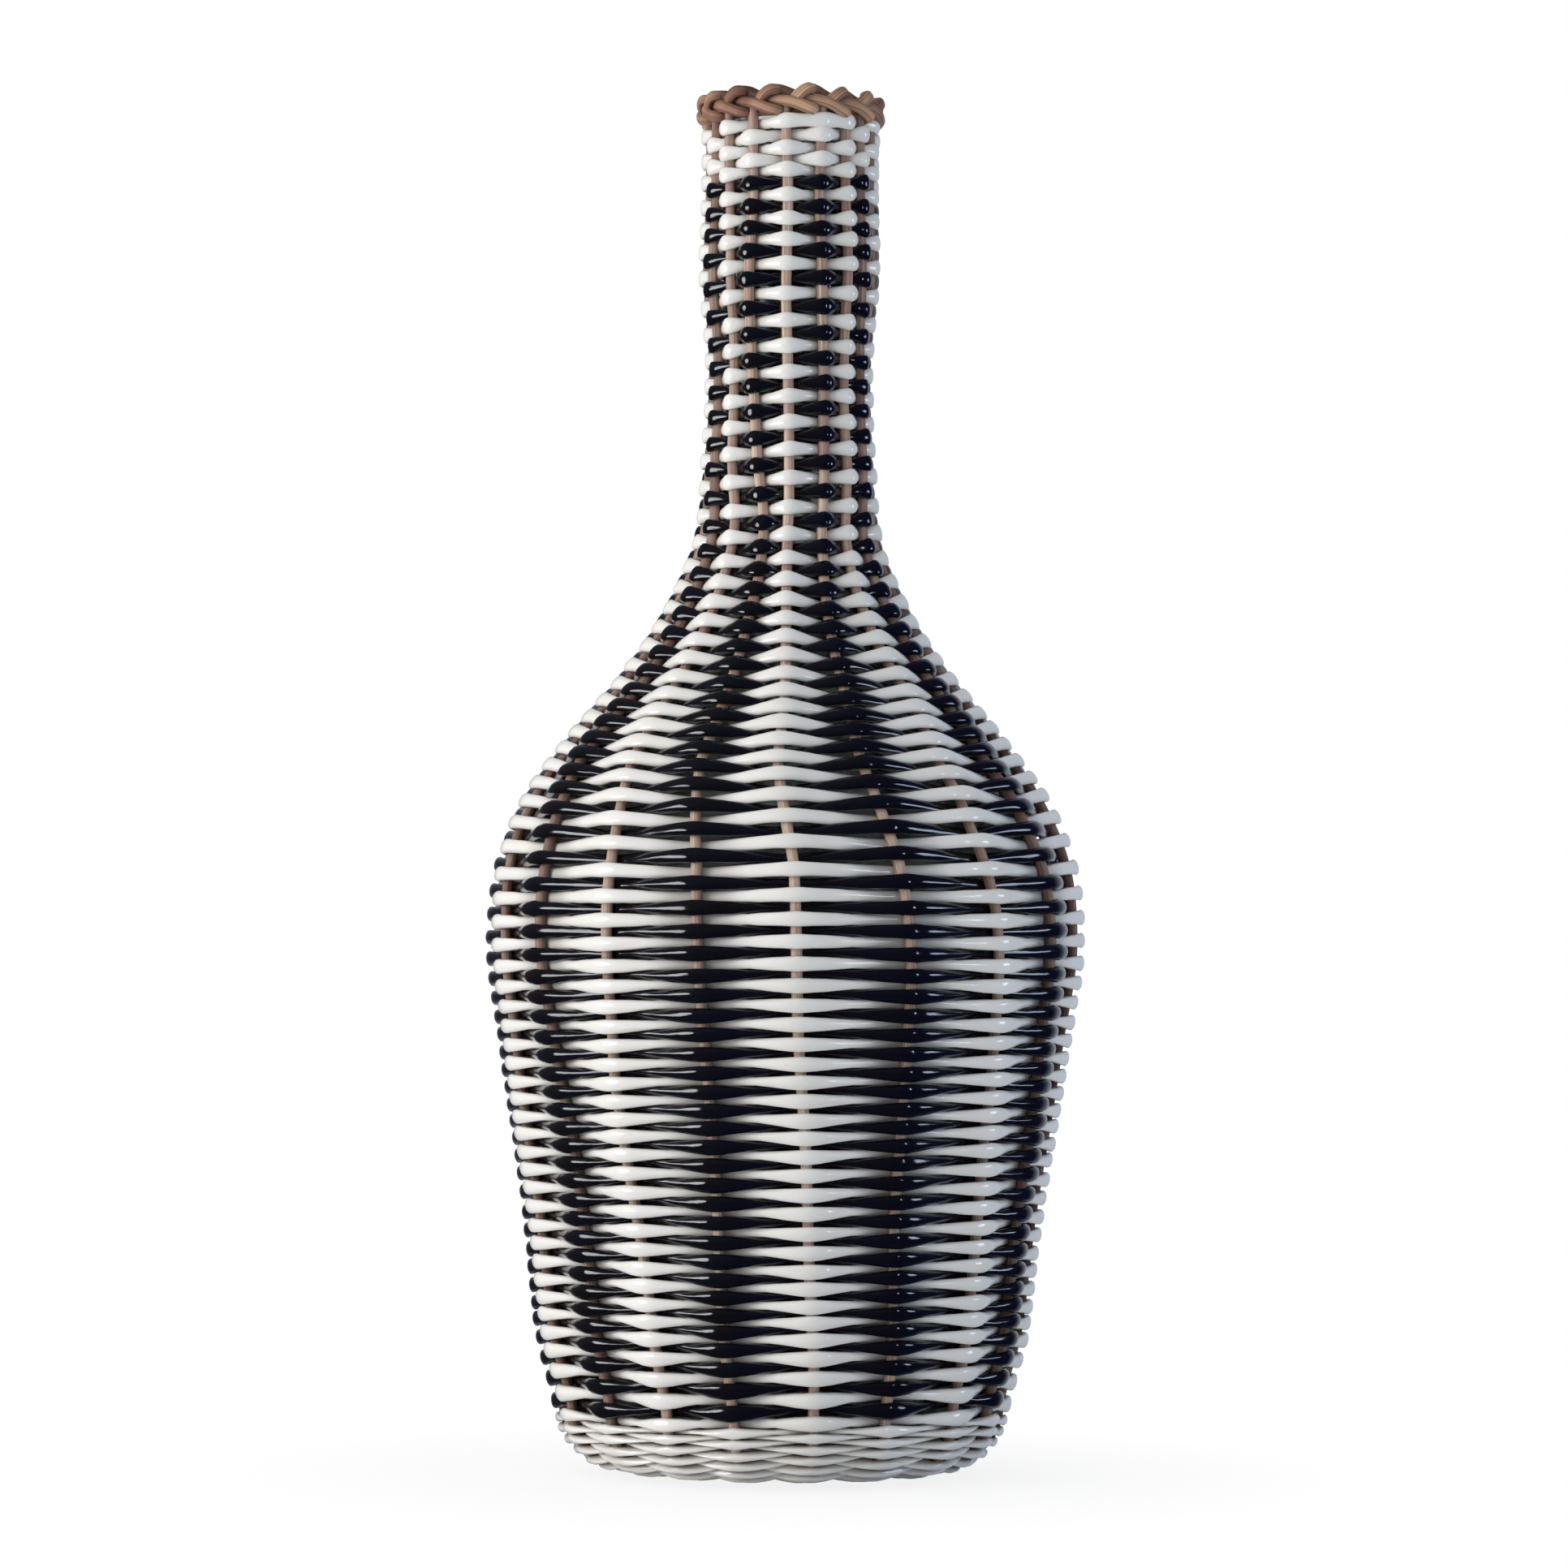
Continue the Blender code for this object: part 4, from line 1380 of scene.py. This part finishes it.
@dataclass
class WovenCover:
    """The two strands that climb the bottle together, and their lengths of colour."""

    wall: CoverWall
    base_band_turns: float = 4.5
    neck_band_turns: float = 2.6

    def build(self, ivory: StrandFinish, black: StrandFinish, effects: SharedEffects) -> None:
        """Make both strands in lengths of one colour, and dress them.

        Args:
            ivory: The pale plastic.
            black: The dark plastic.
            effects: The shared effects.
        """
        ivory_look, black_look = ivory.build(effects), black.build(effects)
        half = self.wall.stake_count // 2
        first = StrandRun(self.wall, -half, 0, SEED + 2, long_float_stake=1)
        second = StrandRun(self.wall, 0, 1, SEED + 5)
        count = self.wall.stake_count
        band_top = 2 * round(self.base_band_turns * count / 2)
        collar = second.last - 2 * round(self.neck_band_turns * count / 2)
        third = 2 * round(first.last / 6)
        change = 2 * round((band_top + collar) / 4)
        # Cuts within one colour lie behind a stake, as the joints between colours do
        under = (ivory_look, Slot.BASE, "woven_base")
        wall = (ivory_look, Slot.IVORY, "ivory_weaver")
        dark = (black_look, Slot.BLACK, "black_weaver")
        for name, run, start, stop, (look, slot, node) in (
            ("ivory_strand_under", first, -first.below, -1, under),
            ("ivory_strand_low", first, -1, third - 1, wall),
            ("ivory_strand_middle", first, third - 1, 2 * third - 1, wall),
            ("ivory_strand_high", first, 2 * third - 1, first.last, wall),
            ("second_strand_under", second, -second.below, 0, under),
            ("base_band_strand", second, 0, band_top,
             (ivory_look, Slot.IVORY, "base_band_weaver")),
            ("black_strand_low", second, band_top, change, dark),
            ("black_strand_high", second, change, collar, dark),
            ("neck_band_strand", second, collar, second.last,
             (ivory_look, Slot.IVORY, "neck_band_weaver")),
        ):
            dress(run.sweep(start, stop).build(name), look, slot, node)


@dataclass
class RimPlait:
    """Three rattan strands plaited round the mouth, over the stake ends laid round it."""

    wall: CoverWall
    middle_height: float = 0.3333
    start_angle: float = 170.4
    cycles: int = 5
    strands: int = 3
    radius: float = 0.0209
    sway: float = 0.00260
    depth: float = 0.0013
    half_width: float = 0.00142
    half_thickness: float = 0.00105
    core_radius: float = 0.0187
    core_lift: float = 0.0006
    core_half: float = 0.0013
    # How much painted shade, with some dirt, the laid stake ends get under the plait
    core_tucked: float = 0.8
    # Above 0, the strands climb faster than they fall
    skew: float = 0.75
    # How far a strand's section leans with its sway
    lean: float = 0.45
    # Unevenness of height and of size: waves round the mouth, shift, and share
    height_waves: Table = ((3, 0.7, 0.00018), (7, 0.0, 0.00012))
    size_waves: Table = ((7, 1, 0.05), (17, 2, 0.03))
    steps: int = 90
    sides: int = 14

    def strand(self, number: int) -> Sweep:
        """One strand: it sways up and down once while it goes in and out twice.

        Args:
            number: Number of the strand, from 0.

        Returns:
            The bar, ready to build.
        """
        travel = np.linspace(0.0, math.tau * self.cycles, self.cycles * self.steps + 1)
        travel = travel + math.tau / 3
        phase = travel + self.skew * np.sin(travel)
        angle = (travel - math.tau * number / self.strands) / self.cycles
        angle = math.radians(self.start_angle) + angle
        deep = flattened(np.sin(2 * phase))
        height = self.middle_height + self.sway * np.sin(phase)
        for count, shift, share in self.height_waves:
            height = height + share * np.sin(count * angle + shift)
        centres = around_axis(self.radius + self.depth * deep, height, angle)
        ups, outs = section_axes(
            centres, unit(around_axis(1.0, self.lean * np.sin(phase), angle)))
        wave = sum((share * np.sin(count * angle + shift * number)
                    for count, shift, share in self.size_waves), start=1.0)
        # Painted shade, with some dirt, falls where a strand goes in
        return Sweep(centres, ups, outs, self.half_width * wave, self.half_thickness * wave,
                     0.5 - 0.5 * deep, self.sides, squareness=2.3, rows=8)

    def core(self) -> Sweep:
        """The stake ends that lie round the mouth under the plait, as one ring.

        Returns:
            The bar, ready to build.
        """
        angle = np.linspace(0.0, math.tau, self.cycles * self.steps // 2 + 1)
        centres = around_axis(self.core_radius, self.wall.top[1] + self.core_lift, angle)
        return Sweep(centres, UPWARDS, around_axis(1.0, 0.0, angle), self.core_half,
                     self.core_half, self.core_tucked, self.sides, squareness=2.0, rows=8)

    def build(self, finish: RattanFinish, effects: SharedEffects) -> None:
        """Make and dress the strands.

        Args:
            finish: The rim's rattan.
            effects: The shared effects.
        """
        material = finish.build(effects)
        for number in range(self.strands):
            piece = self.strand(number).build(f"rattan_plait_{number + 1}")
            dress(piece, material, Slot.RIM, f"rim_plait_{number + 1}")
        dress(self.core().build("laid_stake_ends"), material, Slot.RIM, "rim_plait_1")


# Studio


@dataclass
class Lamp:
    """A soft lamp that faces a point on the axis."""

    name: str
    azimuth: float
    height: float
    distance: float
    size: Span
    power: float
    colour: tuple[float, float, float]
    aim_height: float = 0.16

    def build(self) -> None:
        """Make the lamp. Azimuth 0 is in front, and 90 to the right."""
        data = bpy.data.lights.new(self.name, "AREA")
        data.shape = "ELLIPSE"
        data.size, data.size_y = self.size
        data.energy = self.power
        data.color = self.colour
        lamp = bpy.data.objects.new(self.name, data)
        turn = math.radians(self.azimuth)
        lamp.location = (
            self.distance * math.sin(turn), -self.distance * math.cos(turn), self.height,
        )
        aim = Vector((0.0, 0.0, self.aim_height)) - lamp.location
        lamp.rotation_euler = aim.to_track_quat("-Z", "Y").to_euler()
        bpy.context.scene.collection.objects.link(lamp)


@dataclass
class Studio:
    """Pale floor, white surroundings, soft lamps and the camera of the photo."""

    camera_distance: float = 1.300
    eye_height: float = 0.1272
    side_step: float = -0.00046
    upward_tilt: float = 1.80
    roll: float = 0.46
    lens: float = 121.8
    clip: Span = (0.05, 50.0)
    floor_half: float = 6.0
    # Light that matt surfaces get from the left, the right and above
    left_light: Colour = (1.24, 1.20, 1.12, 1.0)
    right_light: Colour = (0.06, 0.15, 0.30, 1.0)
    top_light: Colour = (0.85, 0.84, 0.82, 1.0)
    right_shade: float = 0.36
    # The dim room that glossy surfaces mirror, with one blue side and a paler back
    low_gloss: Colour = (0.030, 0.028, 0.026, 1.0)
    high_gloss: Colour = (0.10, 0.10, 0.11, 1.0)
    right_gloss: Colour = (0.010, 0.013, 0.085, 1.0)
    back_gloss: Colour = (0.42, 0.46, 0.54, 1.0)
    right_gloss_share: float = 0.8
    # Where each side of the surroundings starts and is full, by a part of the direction
    right_span: Span = (-0.7, 0.55)
    top_span: Span = (-0.2, 1.0)
    back_span: Span = (0.45, 0.85)
    back_side_span: Span = (-0.5, 0.3)
    # Radii where the floor starts to turn white and is white, and how white it is before
    floor_fade: Span = (0.05, 0.14)
    floor_glow: float = 0.86
    floor_tints: tuple[Colour, Colour] = ((0.80, 0.80, 0.80, 1.0), (0.83, 0.83, 0.83, 1.0))
    floor_grain: float = 60.0
    lamps: tuple[Lamp, ...] = (
        Lamp("window_left", azimuth=-65.0, height=0.28, distance=1.10, size=(0.66, 0.46),
             power=6.2, colour=(0.97, 0.98, 1.0)),
        Lamp("window_right", azimuth=84.0, height=0.30, distance=1.10, size=(0.34, 0.28),
             power=1.7, colour=(0.64, 0.80, 1.0)),
        Lamp("window_far_right", azimuth=50.0, height=0.34, distance=1.10, size=(0.07, 0.22),
             power=0.5, colour=(0.74, 0.87, 1.0)),
    )

    def build(self) -> None:
        """Make everything round the bottle."""
        self._view()
        self._camera()
        self._world()
        self._floor()
        for lamp in self.lamps:
            lamp.build()

    @staticmethod
    def _view() -> None:
        """Show colours as they are written."""
        bpy.context.scene.view_settings.view_transform = "Standard"

    def _camera(self) -> None:
        """Stand the camera in front, a little above the belly, tilted up."""
        data = bpy.data.cameras.new("camera")
        data.lens = self.lens
        data.clip_start, data.clip_end = self.clip
        camera = bpy.data.objects.new("camera", data)
        camera.location = (self.side_step, -self.camera_distance, self.eye_height)
        tilt = Euler((math.radians(90 + self.upward_tilt), 0.0, 0.0)).to_matrix()
        turn = Euler((0.0, 0.0, math.radians(self.roll))).to_matrix()
        camera.rotation_euler = (tilt @ turn).to_euler()
        bpy.context.scene.collection.objects.link(camera)
        bpy.context.scene.camera = camera

    def _world(self) -> None:
        """White to the eye, an even soft light for matt surfaces, and a dim room in the gloss."""
        world = bpy.data.worlds.new("surroundings")
        bpy.context.scene.world = world
        world.use_nodes = True
        wiring = Wiring(world.node_tree)
        glossy = wiring.node("LightPath").outputs["Is Glossy Ray"]
        parts = wiring.split(wiring.node("TexCoord").outputs["Generated"])
        right = wiring.ranged(parts["X"], *self.right_span)
        soft = wiring.mix(right, self.left_light, self.right_light)
        above = wiring.ranged(parts["Z"], *self.top_span)
        shaded = wiring.maths("MULTIPLY_ADD", right, -self.right_shade, 1.0)
        soft = wiring.mix(wiring.maths("MULTIPLY", above, shaded), soft, self.top_light)
        gloss = wiring.mix(above, self.low_gloss, self.high_gloss)
        blue = wiring.maths("MULTIPLY", right, self.right_gloss_share)
        gloss = wiring.mix(blue, gloss, self.right_gloss)
        behind = wiring.maths("MULTIPLY", wiring.ranged(parts["Y"], *self.back_span),
                              wiring.ranged(parts["X"], *self.back_side_span))
        gloss = wiring.mix(behind, gloss, self.back_gloss)
        # The glass shows the white surroundings, as the eye does
        colour = wiring.mix(wiring.seen(), wiring.mix(glossy, soft, gloss), WHITE)
        wiring.feed(world.node_tree.nodes["Background"], {"Color": colour, "Strength": 1.0})

    def _floor(self) -> None:
        """A pale floor that keeps the bottle's shadow and turns plain white further out."""
        half = self.floor_half
        verts = np.array(((-half, -half, 0), (half, -half, 0), (half, half, 0), (-half, half, 0)))
        mesh = mesh_of("floor", verts, np.array(((0, 1, 2, 3),)), np.zeros((0, 3), int))
        floor = link_object("floor", mesh)
        material = bpy.data.materials.new("pale_floor")
        material.use_nodes = True
        tree = material.node_tree
        tree.nodes.remove(tree.nodes["Principled BSDF"])
        wiring = Wiring(tree)
        place = wiring.place()
        reach = wiring.node("VectorMath", {0: place}, operation="LENGTH").outputs["Value"]
        tint = wiring.mix(wiring.noise(place, self.floor_grain, detail=3.0), *self.floor_tints)
        matt = wiring.node("BsdfDiffuse", {"Color": tint}).outputs["BSDF"]
        glow = wiring.node("Emission", {"Color": WHITE, "Strength": 1.0}).outputs["Emission"]
        share = wiring.maths("MULTIPLY", wiring.seen(),
                             wiring.ranged(reach, *self.floor_fade, self.floor_glow, 1.0))
        both = wiring.node("MixShader", {0: share, 1: matt, 2: glow}).outputs["Shader"]
        wiring.feed(tree.nodes["Material Output"], {"Surface": both})
        mesh.materials.append(material)
        floor.visible_glossy = False


# The order of work

IVORY = StrandFinish(
    "ivory_plastic", colour=(0.80, 0.78, 0.75, 1.0), drift=(0.76, 0.74, 0.695, 1.0),
    shade_and_dirt=(0.28, 0.235, 0.195, 1.0), shade_and_dirt_share=0.42, roughness=(0.07, 0.17))
BASE_IVORY = StrandFinish(
    "ivory_plastic_under_the_base", colour=(0.70, 0.68, 0.63, 1.0), drift=(0.62, 0.60, 0.55, 1.0),
    shade_and_dirt=(0.34, 0.29, 0.23, 1.0), shade_and_dirt_share=0.5, roughness=(0.20, 0.36))
BLACK = StrandFinish(
    "black_plastic", colour=(0.0038, 0.0034, 0.0045, 1.0), drift=(0.0034, 0.0036, 0.0082, 1.0),
    shade_and_dirt=(0.004, 0.003, 0.004, 1.0), shade_and_dirt_share=0.5, roughness=(0.06, 0.15))
STAKE_RATTAN = RattanFinish(
    "peeled_rattan", light=(0.81, 0.64, 0.48, 1.0), dark=(0.45, 0.29, 0.235, 1.0),
    fibre_and_shade=(0.14, 0.062, 0.050, 1.0), along=25.0, round=3.6, shade_and_dirt_share=0.85)
RIM_RATTAN = RattanFinish(
    "aged_rattan", light=(0.72, 0.46, 0.285, 1.0), dark=(0.27, 0.125, 0.085, 1.0),
    fibre_and_shade=(0.055, 0.020, 0.012, 1.0), along=30.0, round=3.4, shade_and_dirt_share=0.85)


def main() -> None:
    """Build the bottle, its cover and the studio, and report each piece."""
    logging.basicConfig(level=logging.INFO, format="%(message)s")
    effects = SharedEffects()
    wall = CoverWall()
    GlassBottle(wall).build(GlassFinish())
    Stakes(wall).build(STAKE_RATTAN, effects)
    HubBinding(wall).build(BASE_IVORY, effects)
    WovenCover(wall).build(IVORY, BLACK, effects)
    RimPlait(wall).build(RIM_RATTAN, effects)
    Studio().build()


if __name__ == "__main__":
    main()
